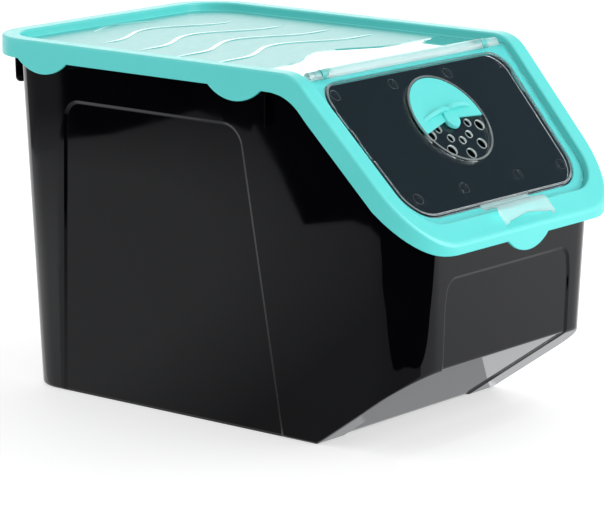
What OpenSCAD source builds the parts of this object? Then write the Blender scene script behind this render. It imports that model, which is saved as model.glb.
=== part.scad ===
// Sloped-front rice bin: a drafted tub, a bent lid frame that lifts off, a clear flip lid
// hinged at the bend, and a rotary vent shutter on the flip lid.
// +Z is up, the front faces -Y, and the origin is the centre of the whole bin's footprint.

/* [Overall] */
// Width over the lid frame
lid_w = 236; // [200:1:290]
// Length of the flat top, from the bend to the rear edge
flat_len = 271.5; // [210:0.5:340]
// Length of the sloped front, from the bend to the front edge
slope_len = 139.7; // [115:0.1:170]
// Angle of the sloped front below level
slope_angle = 46.3; // [38:0.1:52]
// Height of the rim above the surface that the bin stands on
bin_h = 240; // [195:1:300]
// Radius that blends the flat top into the slope
bend_r = 26; // [18:1:34]

/* [Tub] */
// Thickness of the tub walls
wall = 2.4; // [1.6:0.1:3.2]
// Thickness of the tub floor
floor_t = 2.6; // [1.6:0.1:4]
// Draft angle of the tub walls
draft = 2; // [0.5:0.1:3]
// Distance that the lid edge stands out past the tub walls at rim height
overhang = 12.6; // [11:0.1:15]
// Corner radius of the tub
tub_r = 26.8; // [22:0.1:30]
// Height of the sloping cut under the front wall
chamfer_h = 55; // [35:1:75]
// Length of that cut, from the front wall back to the base
chamfer_run = 78; // [50:1:95]
// Depth that the wall panels are sunk
panel_depth = 1.2; // [0.6:0.1:1.6]
// Width of the sloping edge round each panel
panel_bevel = 2.8; // [1.2:0.1:3.4]
// Length of the rear grip lip
grip_w = 172; // [120:1:180]
// Depth of the rear grip lip below the tub flange
grip_drop = 27; // [18:1:36]
// Thickness of the rear grip lip
grip_t = 2.2; // [1.6:0.1:3]

/* [Lid frame] */
// Thickness of the lid frame
lid_t = 2; // [1.4:0.1:2.6]
// Outer corner radius of the lid frame
lid_r = 40; // [34:1:48]
// Width of the raised rim
rim_w = 11.8; // [10:0.1:15]
// Depth of the recess inside the rim
recess = 6; // [5:0.1:8]
// Depth of the skirt, square to the surface above it
skirt = 13; // [12.6:0.1:16]
// Radius of the lower edge of the skirt, under the bend
skirt_bend_r = 35; // [26:1:42]
// Width of a half-round pull tab on the skirt
tab_w = 43; // [30:1:50]
// Distance that a pull tab hangs below the skirt
tab_drop = 8.6; // [5:0.1:12]
// Distance that a waved rib swings forwards and back
rib_swing = 20.5; // [8:0.5:24]
// Width of a waved rib
rib_w = 4.4; // [2:0.1:5]
// Height of a waved rib
rib_h = 0.9; // [0.4:0.1:1.5]

/* [Flip lid] */
// Thickness of the clear sheet
sheet_t = 1.6; // [1.2:0.1:2]
// Radius of the hinge barrel
barrel_r = 3.3; // [2.9:0.1:3.5]
// Length of the hinge barrel
barrel_len = 162.8; // [110:0.1:164]
// Radius of the hinge pegs
peg_r = 1.55; // [1.2:0.05:1.8]
// Length of a hinge lug between the barrel and the ear
lug_w = 5.4; // [4:0.1:7]
// Width of the finger latch
latch_w = 52; // [36:1:64]
// Length of the finger latch beyond its bend
latch_len = 10.8; // [7:0.1:12]
// Height of the finger latch above the rim
latch_rise = 4.9; // [4:0.1:6]

/* [Vent] */
// Outer radius of the ring round the vent
vent_r = 34; // [28:0.5:38]
// Distance from the bend to the middle of the vent
vent_v = 51.3; // [46:0.1:60]
// Distance from the outside of the vent ring to the circle of small holes
small_pcd_in = 17.5; // [16.5:0.1:18]
// Radius of a small hole
small_hole_r = 2.7; // [2:0.1:3]
// Distance from the outside of the vent ring to the circle of large holes
large_pcd_in = 7; // [6.4:0.1:8]
// Radius of a large hole
large_hole_r = 3.7; // [3:0.1:4]
// Radius of the shutter pivot
pivot_r = 2.5; // [2:0.1:3]

/* [Hidden] */
$fn = 48;

// Gap between parts that rest on or slide past each other
seat_gap = 0.3;
// Radial clearance of a pin that turns in its bore
pin_fit = 0.05;
// Gap between the skirt and the tub flange inside it
skirt_gap = 0.8;
// Segments in a rounded corner
corner_n = 8;
// Segments in the bend
bend_n = 6;
// How far cutting bodies run past what they cut
over = 400;

lid_hw = lid_w / 2;
slope_run = slope_len * cos(slope_angle);
slope_drop = slope_len * sin(slope_angle);
bend_tangent = bend_r * tan(slope_angle / 2);

// Latch, in distances from the bend (v) and heights above the rim plane
latch_bend_v = slope_len - 15;
latch_tip_v = latch_bend_v + latch_len;
latch_top = latch_rise + sheet_t;
front_reach = max(slope_run, latch_tip_v * cos(slope_angle) + latch_top * sin(slope_angle));

// Places along Y
rear_y = (flat_len + front_reach) / 2;
bend_y = rear_y - flat_len;
lid_front_y = bend_y - slope_run;

// Tub
slope_foot_z = bin_h - slope_drop;
front_overhang = overhang + 1;
flange_inset = lid_t + skirt_gap;
tub_top_t = recess + lid_t + seat_gap;
flange_t = 2.2;
lean = tan(draft);
base_front_y = lid_front_y + front_overhang + lean * (slope_foot_z - chamfer_h) + chamfer_run;
chamfer_angle = atan2(chamfer_h, chamfer_run);
front_flange_z = slope_foot_z - 2.3;
grip_gap = 0.3;

// Lid frame
recess_hw = lid_hw - rim_w;
recess_front_v = slope_len - 16.4;
recess_r = lid_r - rim_w;
recess_taper = 0.073;
skirt_foot_z = slope_foot_z - 8;
// Where the lower edge of the skirt turns up round the front corner, and its angle from there
foot_turn_y = lid_front_y + 38;
foot_angle = slope_angle - 7.3;
window_margin = 7.5;
window_top_v = 6;
window_foot_v = recess_front_v - 7.2;

// Flip lid, in heights above the rim plane
sheet_foot = -recess + seat_gap;
sheet_top = sheet_foot + sheet_t;
hinge_v = 0.2;
hinge_off = sheet_foot;
groove_r = barrel_r + 0.5;
trough_r = groove_r + 1.8;
trough_hw = recess_hw - 6;
lug_in = barrel_len / 2 + 0.4;
lug_out = lug_in + lug_w;
ear_r = barrel_r - 0.7;
ear_out = trough_hw - 0.5;
lug_r = barrel_r - 0.3;
peg_reach = 6;
ring_t = 1.4;
ring_h = 2.2;
lip_t = 1.6;
lip_drop = 3.1;
lip_gap = 1.2;

// Shutter
shutter_t = 1.6;
shutter_foot = sheet_top + seat_gap;
shutter_top = shutter_foot + shutter_t;
shutter_r = vent_r - ring_t - 0.4;
hub_r = 7.2;
hub_h = 3;
// Bow-shaped grip: its place and thickness on the disc, its half length, how far it stands up
// and is rooted in the disc, and the place of its two peaks with the dip between them
grip_y = 6.2;
bow_t = 2.6;
grip_half = shutter_r - grip_y;
grip_h = 4.2;
grip_root = 0.4;
grip_peak = 4.5;
grip_dip = 2.6;
small_pcd_r = vent_r - small_pcd_in;
large_pcd_r = vent_r - large_pcd_in;
// Angle that the shutter is turned to, from level
shutter_turn = 5;

// ---------- outlines and surfaces ----------

function dir(a) = [cos(a), sin(a)];
function unit(v) = v / norm(v);
function to_prev(p, i) = unit(p[(i + len(p) - 1) % len(p)] - p[i]);
function to_next(p, i) = unit(p[(i + 1) % len(p)] - p[i]);
function half_angle(p, i) = acos(to_prev(p, i) * to_next(p, i)) / 2;
function bisector(p, i) = unit(to_prev(p, i) + to_next(p, i)) / sin(half_angle(p, i));
function spread(r, n) = is_list(r) ? r : [for (i = [1:n]) r];

// A convex outline, drawn anticlockwise, with each edge moved in by d
function inset(p, d) = [for (i = [0:len(p) - 1]) p[i] + bisector(p, i) * d];

// The same outline with its corners rounded to the radii r
function rounded(p, r, n = corner_n) = [
    for (i = [0:len(p) - 1])
        let (radius = spread(r, len(p))[i],
            centre = p[i] + bisector(p, i) * radius,
            start = p[i] + to_prev(p, i) * radius / tan(half_angle(p, i)) - centre,
            sweep = 180 - 2 * half_angle(p, i),
            a0 = atan2(start[1], start[0]))
        for (k = [0:n]) centre + radius * dir(a0 + sweep * k / n)
];

// Corners moved in by d, then rounded so that the curves stay concentric
function outline(p, r, d = 0) =
    rounded(inset(p, d), [for (radius = spread(r, len(p))) max(radius - d, 0.4)]);

function at_height(ring, z) = [for (q = ring) [q[0], q[1], z]];

// A solid through rings of equal point counts, listed from bottom to top
module loft(rings) {
    n = len(rings[0]);
    last = len(rings) - 1;
    polyhedron(
        points = [for (ring = rings) each ring],
        faces = concat(
            [[for (i = [0:n - 1]) i]],
            [[for (i = [n - 1:-1:0]) last * n + i]],
            [for (k = [0:last - 1], i = [0:n - 1])
                let (j = (i + 1) % n) [k * n + i, (k + 1) * n + i, (k + 1) * n + j, k * n + j]]
        )
    );
}

// Side view of the bent top surface, t below the rim, from the rear to past the front
function bend_line(t) = concat(
    [[rear_y + over, bin_h - t]],
    [for (k = [0:bend_n])
        let (a = slope_angle * k / bend_n)
        [bend_y + bend_tangent - (bend_r - t) * sin(a), bin_h - bend_r + (bend_r - t) * cos(a)]],
    [[bend_y - over * cos(slope_angle) + t * sin(slope_angle),
        bin_h - over * sin(slope_angle) - t * cos(slope_angle)]]
);

// Extrudes a side view, drawn in Y and Z, across the width
module across(width = over) {
    rotate([90, 0, 90])
        linear_extrude(width, center = true)
            children();
}

module above(t) {
    line = bend_line(t);
    across()
        polygon(concat(line, [[-over, -over], [-over, over], [rear_y + over, over]]));
}

module below(t) {
    line = bend_line(t);
    across()
        polygon(concat(line, [[rear_y + over, -over * 2]]));
}

// Between two depths below the rim
module layer(t_high, t_low) {
    intersection() {
        below(t_high);
        above(t_low);
    }
}

// Moves children to the rim plane of the slope: x across, -y down the slope, z outwards
module on_slope() {
    translate([0, bend_y, bin_h])
        rotate([slope_angle, 0, 0])
            children();
}

module both_sides() {
    children();
    mirror([1, 0, 0])
        children();
}

// ---------- tub ----------

function tub_hw(z) = lid_hw - overhang - lean * (bin_h - z);
function tub_rear(z) = rear_y - overhang - lean * (bin_h - z);
function tub_front(z) = lid_front_y + front_overhang + lean * (slope_foot_z - z);
function tub_corners(z) = [
    [tub_hw(z), tub_rear(z)],
    [-tub_hw(z), tub_rear(z)],
    [-tub_hw(z), tub_front(z)],
    [tub_hw(z), tub_front(z)]
];
function tub_ring(z, d) = at_height(outline(tub_corners(z), tub_r, d), z);

// The drafted block that the walls are cut from, its faces moved in by d
module tub_block(d, foot) {
    chamfer_shift = d / sin(chamfer_angle);
    intersection() {
        loft([tub_ring(foot, d), tub_ring(bin_h, d)]);
        across()
            polygon([
                [base_front_y + chamfer_shift - chamfer_run * 2, chamfer_h * 2],
                [base_front_y + chamfer_shift + chamfer_run, -chamfer_h],
                [over, -chamfer_h],
                [over, over],
                [-over, over],
                [-over, chamfer_h * 2]
            ]);
    }
}

// What a sunk panel with sloping edges takes away, drawn in the plane of its wall
module sunk_panel(corners, radii) {
    proud = 1;
    loft([
        at_height(outline(corners, radii, panel_bevel), -panel_depth),
        at_height(outline(corners, radii, -panel_bevel * proud / panel_depth), proud)
    ]);
}

side_panel_top = bin_h - 38.3;
side_panel = [
    [bend_y + 22.4, -10],
    [rear_y - 54.6, -10],
    [rear_y - 64.9, side_panel_top],
    [bend_y + 54.6, side_panel_top]
];
side_panel_radii = [4, 4, 14, 17];
front_panel_hw = lid_hw - 49.5;
front_panel_top = slope_foot_z - 24.5;
front_panel = [
    [-front_panel_hw, chamfer_h - 20],
    [front_panel_hw, chamfer_h - 20],
    [front_panel_hw - 1, front_panel_top],
    [-front_panel_hw + 1, front_panel_top]
];
chamfer_len = norm([chamfer_h, chamfer_run]);
chamfer_panel = [
    [-front_panel_hw, -20],
    [front_panel_hw, -20],
    [front_panel_hw, chamfer_len + 20],
    [-front_panel_hw, chamfer_len + 20]
];

// The panels of the walls and the cut, sunk into faces that lie d inside the outer ones
module wall_panels(d) {
    both_sides()
        translate([tub_hw(0) - d, 0, 0])
            rotate([0, draft, 0])
                rotate([90, 0, 90])
                    sunk_panel(side_panel, side_panel_radii);
    translate([0, tub_front(0) + d, 0])
        rotate([draft, 0, 0])
            rotate([90, 0, 0])
                sunk_panel(front_panel, [4, 4, 11, 11]);
    translate([0, base_front_y + d / sin(chamfer_angle), 0])
        rotate([90 - chamfer_angle, 0, 0])
            rotate([90, 0, 0])
                sunk_panel(chamfer_panel, 4);
}

// Plan of the lid frame: its sides are straight, then draw in towards the front corners
draw_in_y = bend_y - 0.1 * slope_run;
draw_in = 0.1 * (draw_in_y - lid_front_y);
lid_corners = [
    [lid_hw, rear_y],
    [-lid_hw, rear_y],
    [-lid_hw, draw_in_y],
    [-lid_hw + draw_in, lid_front_y],
    [lid_hw - draw_in, lid_front_y],
    [lid_hw, draw_in_y]
];

module lid_plan(d = 0) {
    linear_extrude(over)
        polygon(outline(lid_corners, lid_r, d));
}

// Flange that carries the lid: it follows the lid, then runs level inside the front skirt
module tub_flange() {
    web_y = lid_front_y + front_overhang - wall / 2;
    level_foot = front_flange_z - flange_t;
    intersection() {
        lid_plan(flange_inset);
        union() {
            intersection() {
                below(tub_top_t);
                union() {
                    intersection() {
                        above(tub_top_t + flange_t);
                        translate([-over / 2, web_y, 0])
                            cube(over);
                    }
                    translate([-over / 2, web_y, level_foot])
                        cube([over, wall, slope_drop]);
                }
            }
            translate([-over / 2, web_y - over, level_foot])
                cube([over, over + wall, flange_t]);
        }
    }
    // Upstand that centres the lid
    intersection() {
        layer(recess - 2, tub_top_t + flange_t);
        translate([-over / 2, bend_y - 0.5 * slope_run, 0])
            cube(over);
        difference() {
            lid_plan(flange_inset);
            lid_plan(flange_inset + 2);
        }
    }
}

// Short upright rib on each side wall, just under the bend of the lid
module side_rib() {
    rib_y = bend_y + 30;
    rib_top = bin_h - tub_top_t - 1;
    rib_drop = 28;
    rib_half = 0.8;
    rib_reach = 3.8;
    root = wall / 2;
    translate([tub_hw(rib_top) - root, 0, 0])
        rotate([90, 0, 90])
            linear_extrude(root + rib_reach)
                polygon(rounded([
                    [rib_y - rib_half, rib_top - rib_drop],
                    [rib_y + rib_half, rib_top - rib_drop],
                    [rib_y + rib_half, rib_top],
                    [rib_y - rib_half, rib_top]
                ], [0.7, 0.7, 0.2, 0.2]));
}

// Lip behind the rear wall, for the fingers
module rear_grip() {
    grip_top = bin_h - tub_top_t - 1;
    intersection() {
        lid_plan(flange_inset);
        translate([0, rear_y - flange_inset - grip_gap, 0])
            rotate([90, 0, 0])
                linear_extrude(grip_t)
                    polygon(rounded([
                        [-grip_w / 2 + 1, grip_top - grip_drop],
                        [grip_w / 2 - 1, grip_top - grip_drop],
                        [grip_w / 2, grip_top],
                        [-grip_w / 2, grip_top]
                    ], [3, 3, 0.4, 0.4]));
    }
}

module tub() {
    color([0.05, 0.05, 0.06])
        difference() {
            union() {
                difference() {
                    intersection() {
                        tub_block(0, 0);
                        below(tub_top_t);
                    }
                    wall_panels(0);
                }
                tub_flange();
                both_sides()
                    side_rib();
                rear_grip();
            }
            difference() {
                tub_block(wall, -1);
                translate([0, 0, floor_t - over])
                    linear_extrude(over)
                        square(over * 2, center = true);
                wall_panels(wall);
            }
        }
}

// ---------- lid frame ----------

// Half width of the recess at a distance v down the slope
function recess_half(v) = recess_hw - recess_taper * max(v, 0);

recess_rear_corners = [
    [recess_hw, rear_y - rim_w],
    [-recess_hw, rear_y - rim_w],
    [-recess_hw, bend_y],
    [recess_hw, bend_y]
];
recess_slope_corners = [
    [recess_hw, 0],
    [-recess_hw, 0],
    [-recess_half(recess_front_v), -recess_front_v],
    [recess_half(recess_front_v), -recess_front_v]
];

// Everything inside the rim, above and below its surface, grown outwards by g
module inside_rim(g) {
    translate([0, 0, -over])
        linear_extrude(over * 2)
            polygon(outline(recess_rear_corners, [recess_r, recess_r, 0.4, 0.4], -g));
    on_slope()
        translate([0, 0, -over / 2])
            linear_extrude(over)
                polygon(outline(recess_slope_corners, [0.4, 0.4, recess_r, recess_r], -g));
}

// Lower edge of the skirt in side view: level, round the bend and down the slope, then less
// steeply round the front corner
function skirt_line() =
    let (corner = [bend_y + skirt * tan(slope_angle / 2), bin_h - skirt],
        centre = corner + skirt_bend_r * [tan(slope_angle / 2), -1],
        turn_z = bin_h - (bend_y - foot_turn_y) * tan(slope_angle) - skirt / cos(slope_angle),
        turn = [foot_turn_y, turn_z])
    concat(
        [[rear_y + over, bin_h - skirt]],
        [for (k = [0:bend_n]) centre + skirt_bend_r * dir(90 + slope_angle * k / bend_n)],
        [turn, turn - over / 2 * dir(foot_angle)]
    );

// Side view of everything above the lower edge of the skirt
module above_skirt_foot() {
    across()
        intersection() {
            polygon(concat(skirt_line(), [[-over, -over], [-over, over], [rear_y + over, over]]));
            translate([-over, skirt_foot_z])
                square(over * 3);
        }
}

// The lid frame as a full block, before it is hollowed out
module rim_block() {
    intersection() {
        lid_plan();
        below(0);
        union() {
            above_skirt_foot();
            pull_tabs();
        }
    }
}

// Half discs, wide along the skirt, which only the skirt itself is left of
module pull_tabs() {
    tab_r = (pow(tab_w / 2, 2) + pow(tab_drop, 2)) / (2 * tab_drop);
    for (y = [rear_y - 58.4, bend_y + 48.2])
        translate([0, y, bin_h - skirt - tab_drop + tab_r])
            rotate([0, 90, 0])
                cylinder(h = over, r = tab_r, center = true, $fn = 96);
    translate([0, lid_front_y + lid_r, skirt_foot_z - tab_drop + tab_r])
        rotate([90, 0, 0])
            cylinder(h = lid_r * 2, r = tab_r, $fn = 96);
}

// The space under the rim and under the floor of the recess
module under_lid() {
    difference() {
        intersection() {
            translate([0, 0, -1])
                lid_plan(lid_t);
            below(lid_t);
        }
        intersection() {
            inside_rim(lid_t);
            above(recess + lid_t);
        }
    }
}

// Outline of the window, on the slope, moved in by d
function window_half(v) = recess_half(v) - window_margin;
window_corners = [
    [window_half(window_top_v), -window_top_v],
    [-window_half(window_top_v), -window_top_v],
    [-window_half(window_foot_v), -window_foot_v],
    [window_half(window_foot_v), -window_foot_v]
];
window_radii = [18, 18, 25, 25];

module window() {
    on_slope()
        translate([0, 0, -recess * 3])
            linear_extrude(recess * 4)
                polygon(outline(window_corners, window_radii));
}

// Places children on the hinge axis, turned to run along X
module on_hinge() {
    on_slope()
        translate([0, -hinge_v, hinge_off])
            rotate([0, 90, 0])
                children();
}

// Trough under the hinge barrel, part of the floor
module hinge_trough() {
    intersection() {
        below(recess);
        on_hinge()
            cylinder(h = trough_hw * 2, r = trough_r, center = true);
    }
}

// What the barrel and the ears need cut out of the floor
module hinge_groove() {
    on_hinge() {
        cylinder(h = lug_in * 2, r = groove_r, center = true);
        for (side = [-1, 1])
            translate([0, 0, side * (lug_out + trough_hw) / 2])
                cylinder(h = trough_hw - lug_out + 0.01, r = groove_r, center = true);
    }
}

// A lug on each side, with a peg into the barrel and a peg into the ear
module hinge_lugs() {
    foot = 5;
    on_hinge()
        for (side = [-1, 1])
            translate([0, 0, side * (lug_in + lug_out) / 2]) {
                rotate_extrude()
                    polygon([
                        [0, -lug_w / 2 - peg_reach],
                        [peg_r, -lug_w / 2 - peg_reach],
                        [peg_r, -lug_w / 2],
                        [lug_r, -lug_w / 2],
                        [lug_r, lug_w / 2],
                        [peg_r, lug_w / 2],
                        [peg_r, lug_w / 2 + peg_reach],
                        [0, lug_w / 2 + peg_reach]
                    ]);
                rotate([0, 0, -slope_angle / 2])
                    translate([1, -lug_r, -lug_w / 2])
                        cube([foot - 1, lug_r * 2, lug_w]);
            }
}

// One wave in the middle of a rib, level towards its ends
wave_half = 0.547 * recess_hw;
wave_n = 24;
function wave(x) = rib_swing * (0.5 + 0.5 * cos(180 * min(abs(x) / wave_half, 1)));
function rib_half_w(x, half) = rib_w / 2 * sqrt(max(1 - pow(x / half, 6), 0.06));

// A waved rib whose level ends lie at y, reaching from -half to half across
module waved_rib(y, half) {
    xs = [for (i = [0:wave_n]) -half + 2 * half * i / wave_n];
    translate([0, y, bin_h - recess - 0.5])
        linear_extrude(rib_h + 0.5)
            polygon(concat(
                [for (x = xs) [x, wave(x) - rib_half_w(x, half)]],
                [for (i = [wave_n:-1:0]) [xs[i], wave(xs[i]) + rib_half_w(xs[i], half)]]
            ));
}

// Each rib: its place as a share of the flat top, and its half width as a share of the recess
ribs = [[0.320, 0.774], [0.449, 0.717], [0.589, 0.679], [0.737, 0.613], [0.866, 0.274]];

module waved_ribs() {
    for (rib = ribs)
        waved_rib(bend_y + rib[0] * flat_len, rib[1] * recess_hw);
}

// The smooth apron in front of the ribs lies lower than they do, behind a waved edge
apron_drop = 0.6;
apron_share = 0.193;
module apron() {
    xs = [for (i = [0:wave_n * 2]) recess_hw * (i / wave_n - 1)];
    intersection() {
        inside_rim(0);
        layer(recess - 1, recess + apron_drop);
        translate([0, bend_y, bin_h - recess * 2])
            linear_extrude(over)
                polygon(concat(
                    [[recess_hw, bend_tangent], [-recess_hw, bend_tangent]],
                    [for (x = xs) [x, apron_share * flat_len + wave(x)]]
                ));
    }
}

// Shallow hollow in the front rim, under the latch
module latch_hollow() {
    hollow_r = 6;
    depth = 1.5;
    half = latch_w / 2 + 2;
    on_slope()
        translate([0, -latch_bend_v - 1, -depth])
            linear_extrude(over)
                polygon(rounded([
                    [half, 10], [-half, 10], [-half, -latch_len - 1], [half, -latch_len - 1]
                ], [1, 1, hollow_r, hollow_r]));
}

module lid_frame() {
    color([0.36, 0.82, 0.79]) {
        difference() {
            union() {
                difference() {
                    rim_block();
                    under_lid();
                    intersection() {
                        inside_rim(0);
                        above(recess);
                    }
                    window();
                    apron();
                    latch_hollow();
                }
                hinge_trough();
                waved_ribs();
            }
            hinge_groove();
        }
        hinge_lugs();
    }
}

// ---------- flip lid ----------

sheet_gap = 1;
sheet_corners = [
    [recess_half(0) - sheet_gap, -hinge_v - 2.8],
    [-recess_half(0) + sheet_gap, -hinge_v - 2.8],
    [-recess_half(recess_front_v) + sheet_gap, -recess_front_v + sheet_gap],
    [recess_half(recess_front_v) - sheet_gap, -recess_front_v + sheet_gap]
];

module sheet() {
    on_slope()
        translate([0, 0, sheet_foot])
            linear_extrude(sheet_t)
                difference() {
                    polygon(outline(sheet_corners, [2, 2, recess_r - sheet_gap, recess_r - sheet_gap]));
                    for (side = [-1, 1])
                        translate([side * (lug_in + lug_out) / 2, 0])
                            square([lug_w + 0.8, (hinge_v + lug_r + 1.2) * 2], center = true);
                }
}

// Strip that joins the sheet to the barrel and the ears
module hinge_strip() {
    on_slope()
        for (span = [[-barrel_len / 2, barrel_len], [lug_out + 0.4, ear_out - lug_out - 0.4],
                [-ear_out, ear_out - lug_out - 0.4]])
            translate([span[0], -hinge_v - 4, sheet_foot])
                cube([span[1], 4, sheet_t]);
}

module hinge_barrel() {
    on_hinge() {
        cylinder(h = barrel_len, r = barrel_r, center = true);
        for (side = [-1, 1])
            translate([0, 0, side * (lug_out + 0.4 + ear_out) / 2])
                cylinder(h = ear_out - lug_out - 0.4, r = ear_r, center = true);
    }
}

module hinge_bores() {
    on_hinge()
        for (side = [-1, 1])
            translate([0, 0, side * (lug_in + lug_out) / 2])
                cylinder(h = lug_w + 14, r = peg_r + pin_fit, center = true);
}

// Lip under the sheet that drops into the window
module window_lip() {
    on_slope()
        translate([0, 0, sheet_foot - lip_drop])
            linear_extrude(lip_drop + sheet_t / 2)
                difference() {
                    polygon(outline(window_corners, window_radii, lip_gap));
                    polygon(outline(window_corners, window_radii, lip_gap + lip_t));
                }
}

// Finger latch: it climbs over the rim and ends in a waved edge
module latch() {
    half = latch_w / 2;
    riser_v = recess_front_v - 4.6;
    on_slope() {
        rotate([90, 0, 90])
            linear_extrude(latch_w, center = true)
                polygon([
                    [-riser_v + 2, sheet_foot],
                    [-riser_v + 2, sheet_top],
                    [-riser_v, sheet_top],
                    [-latch_bend_v + 1, latch_top],
                    [-latch_bend_v - 2, latch_top],
                    [-latch_bend_v - 2, latch_rise],
                    [-latch_bend_v - 0.4, latch_rise],
                    [-riser_v - 1.6, sheet_foot]
                ]);
        translate([0, -latch_bend_v, latch_rise])
            linear_extrude(sheet_t)
                polygon(concat(
                    [[half, 0], [-half, 0]],
                    [for (i = [0:20])
                        let (x = -half + latch_w * i / 20)
                        [x, -latch_len + 1.6 * pow(cos(90 * x / half), 2)
                            + 3 * pow(abs(x / half), 12)]]
                ));
    }
}

module vent_ring() {
    on_slope()
        translate([0, -vent_v, sheet_foot])
            difference() {
                cylinder(h = sheet_t + ring_h, r = vent_r, $fn = 96);
                translate([0, 0, sheet_t])
                    cylinder(h = over, r = vent_r - ring_t, $fn = 96);
            }
}

// Five holes on a circle, in the half of the vent nearer the front
module hole_row(pcd_r, hole_r) {
    for (a = [-162:36:-18])
        rotate(a)
            translate([pcd_r, 0, 0])
                cylinder(h = over, r = hole_r, center = true);
}

module vent_holes() {
    on_slope()
        translate([0, -vent_v, sheet_foot]) {
            hole_row(small_pcd_r, small_hole_r);
            hole_row(large_pcd_r, large_hole_r);
            cylinder(h = over, r = pivot_r + pin_fit, center = true);
        }
}

module flip_lid() {
    color([0.86, 0.93, 0.94, 0.4])
        difference() {
            union() {
                sheet();
                hinge_strip();
                hinge_barrel();
                window_lip();
                latch();
                vent_ring();
            }
            hinge_bores();
            vent_holes();
        }
}

// ---------- vent shutter ----------

// Outline of the grip, from its tip (i = 0) to its highest point (i = bow_n)
bow_n = 6;
function bow_point(i, side) = [
    side * (grip_half - (grip_half - grip_peak) * i / bow_n),
    grip_root + grip_h * sin(90 * i / bow_n)
];

module vent_shutter() {
    past = 9.3;
    rise = shutter_foot - sheet_foot;
    color([0.36, 0.82, 0.79])
        on_slope()
            translate([0, -vent_v, 0])
            rotate([0, 0, shutter_turn]) {
                // Half disc that covers the holes, cut a little past its diameter
                translate([0, 0, shutter_foot])
                    linear_extrude(shutter_t)
                        polygon(concat(
                            [for (i = [0:40]) shutter_r * dir(-past + (180 + 2 * past) * i / 40)],
                            [[-hub_r + 1, 0], [hub_r - 1, 0]]
                        ));
                translate([0, 0, shutter_foot])
                    cylinder(h = hub_h, r = hub_r);
                // Pivot, with a head under the sheet that keeps the shutter on
                translate([0, 0, shutter_foot - rise - seat_gap - 0.01])
                    cylinder(h = rise + seat_gap + 1, r = pivot_r);
                translate([0, 0, sheet_foot - seat_gap - 1.2])
                    cylinder(h = 1.2, r1 = pivot_r - 0.5, r2 = pivot_r + 1);
                // Bow-shaped grip
                translate([0, grip_y, shutter_top - grip_root])
                    rotate([90, 0, 0])
                        linear_extrude(bow_t)
                            polygon(concat(
                                [for (i = [0:bow_n]) bow_point(i, -1)],
                                [[0, grip_root + grip_dip]],
                                [for (i = [bow_n:-1:0]) bow_point(i, 1)],
                                [[grip_half, 0], [-grip_half, 0]]
                            ));
            }
}

tub();
lid_frame();
flip_lid();
vent_shutter();
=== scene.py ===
"""Looks of a sloped-front rice bin with a flip lid.

The bin is a glossy black tub, a teal lid frame that bends down towards the front, a clear flip
lid hinged at the bend, and a rotary vent shutter on the flip lid.  Lengths are in millimetres and
turn into metres only where a mesh is made.  +Z is up and the front faces -Y.
"""

import logging
import math
from collections.abc import Callable
from dataclasses import dataclass
from enum import Enum, IntEnum

import bmesh
import bpy
import numpy as np
from mathutils import Matrix, Vector
from mathutils.geometry import delaunay_2d_cdt


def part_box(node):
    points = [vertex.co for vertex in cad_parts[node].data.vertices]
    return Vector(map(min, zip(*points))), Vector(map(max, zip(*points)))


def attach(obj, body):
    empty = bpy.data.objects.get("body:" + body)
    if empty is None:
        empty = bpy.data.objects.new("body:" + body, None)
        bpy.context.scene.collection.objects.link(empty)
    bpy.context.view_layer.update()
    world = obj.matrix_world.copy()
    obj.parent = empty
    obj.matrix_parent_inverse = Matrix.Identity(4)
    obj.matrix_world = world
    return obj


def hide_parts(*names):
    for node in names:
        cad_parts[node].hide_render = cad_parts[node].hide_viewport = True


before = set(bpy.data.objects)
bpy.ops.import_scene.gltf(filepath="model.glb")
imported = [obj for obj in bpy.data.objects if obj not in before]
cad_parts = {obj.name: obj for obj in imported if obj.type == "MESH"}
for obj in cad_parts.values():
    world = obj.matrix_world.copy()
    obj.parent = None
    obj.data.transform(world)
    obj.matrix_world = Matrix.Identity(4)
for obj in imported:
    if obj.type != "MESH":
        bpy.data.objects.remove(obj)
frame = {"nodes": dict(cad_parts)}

MM = 0.001
Material = bpy.types.Material
Socket = bpy.types.NodeSocket
Array = np.ndarray
Pair = tuple[float, float]
Triple = tuple[float, float, float]
log = logging.getLogger("rice_bin")


# ------------------------ outlines


@dataclass(frozen=True)
class Edge:
    """Points along an outline, each with the flat direction that faces outwards."""

    points: Array
    outward: Array

    def grown(self, distance: float) -> Array:
        """The points, moved outwards by a distance."""
        return self.points + distance * self.outward

    def mirrored(self) -> "Edge":
        """The whole outline, from one half that runs from x = 0 to x = 0."""
        flip = np.array([-1.0, 1.0])
        return Edge(*(np.vstack([half, (half * flip)[-2:0:-1]]) for half in (self.points, self.outward)))


def unit(vector: Array) -> Array:
    """The vector at length one."""
    return vector / np.linalg.norm(vector)


def columns(*values: Array | float) -> Array:
    """Rows of coordinates, from a column or one number for each coordinate."""
    return np.column_stack(np.broadcast_arrays(*values))


def arc(centre: Pair, radius: float, degrees: Array) -> Edge:
    """Points on a circle.

    Args:
        centre: Middle of the circle.
        radius: Its radius.
        degrees: Angle of each point, anticlockwise from +X.

    Returns:
        The points, which face away from the centre.
    """
    angles = np.radians(degrees)
    outward = columns(np.cos(angles), np.sin(angles))
    return Edge(np.array(centre) + radius * outward, outward)


def ring_of(centre: Pair, radius: float, count: int) -> Edge:
    """A whole circle of evenly spaced points."""
    return arc(centre, radius, 360 * np.arange(count) / count)


def straight(x: Array | float, y: Array | float, outward: Pair) -> Edge:
    """A straight stretch of outline through places along X and Y, which faces one way."""
    points = columns(x, y)
    return Edge(points, np.tile(np.array(outward, float), (len(points), 1)))


def joined(*edges: Edge) -> Edge:
    """Stretches of outline, one after the other."""
    return Edge(np.vstack([edge.points for edge in edges]), np.vstack([edge.outward for edge in edges]))


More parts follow.
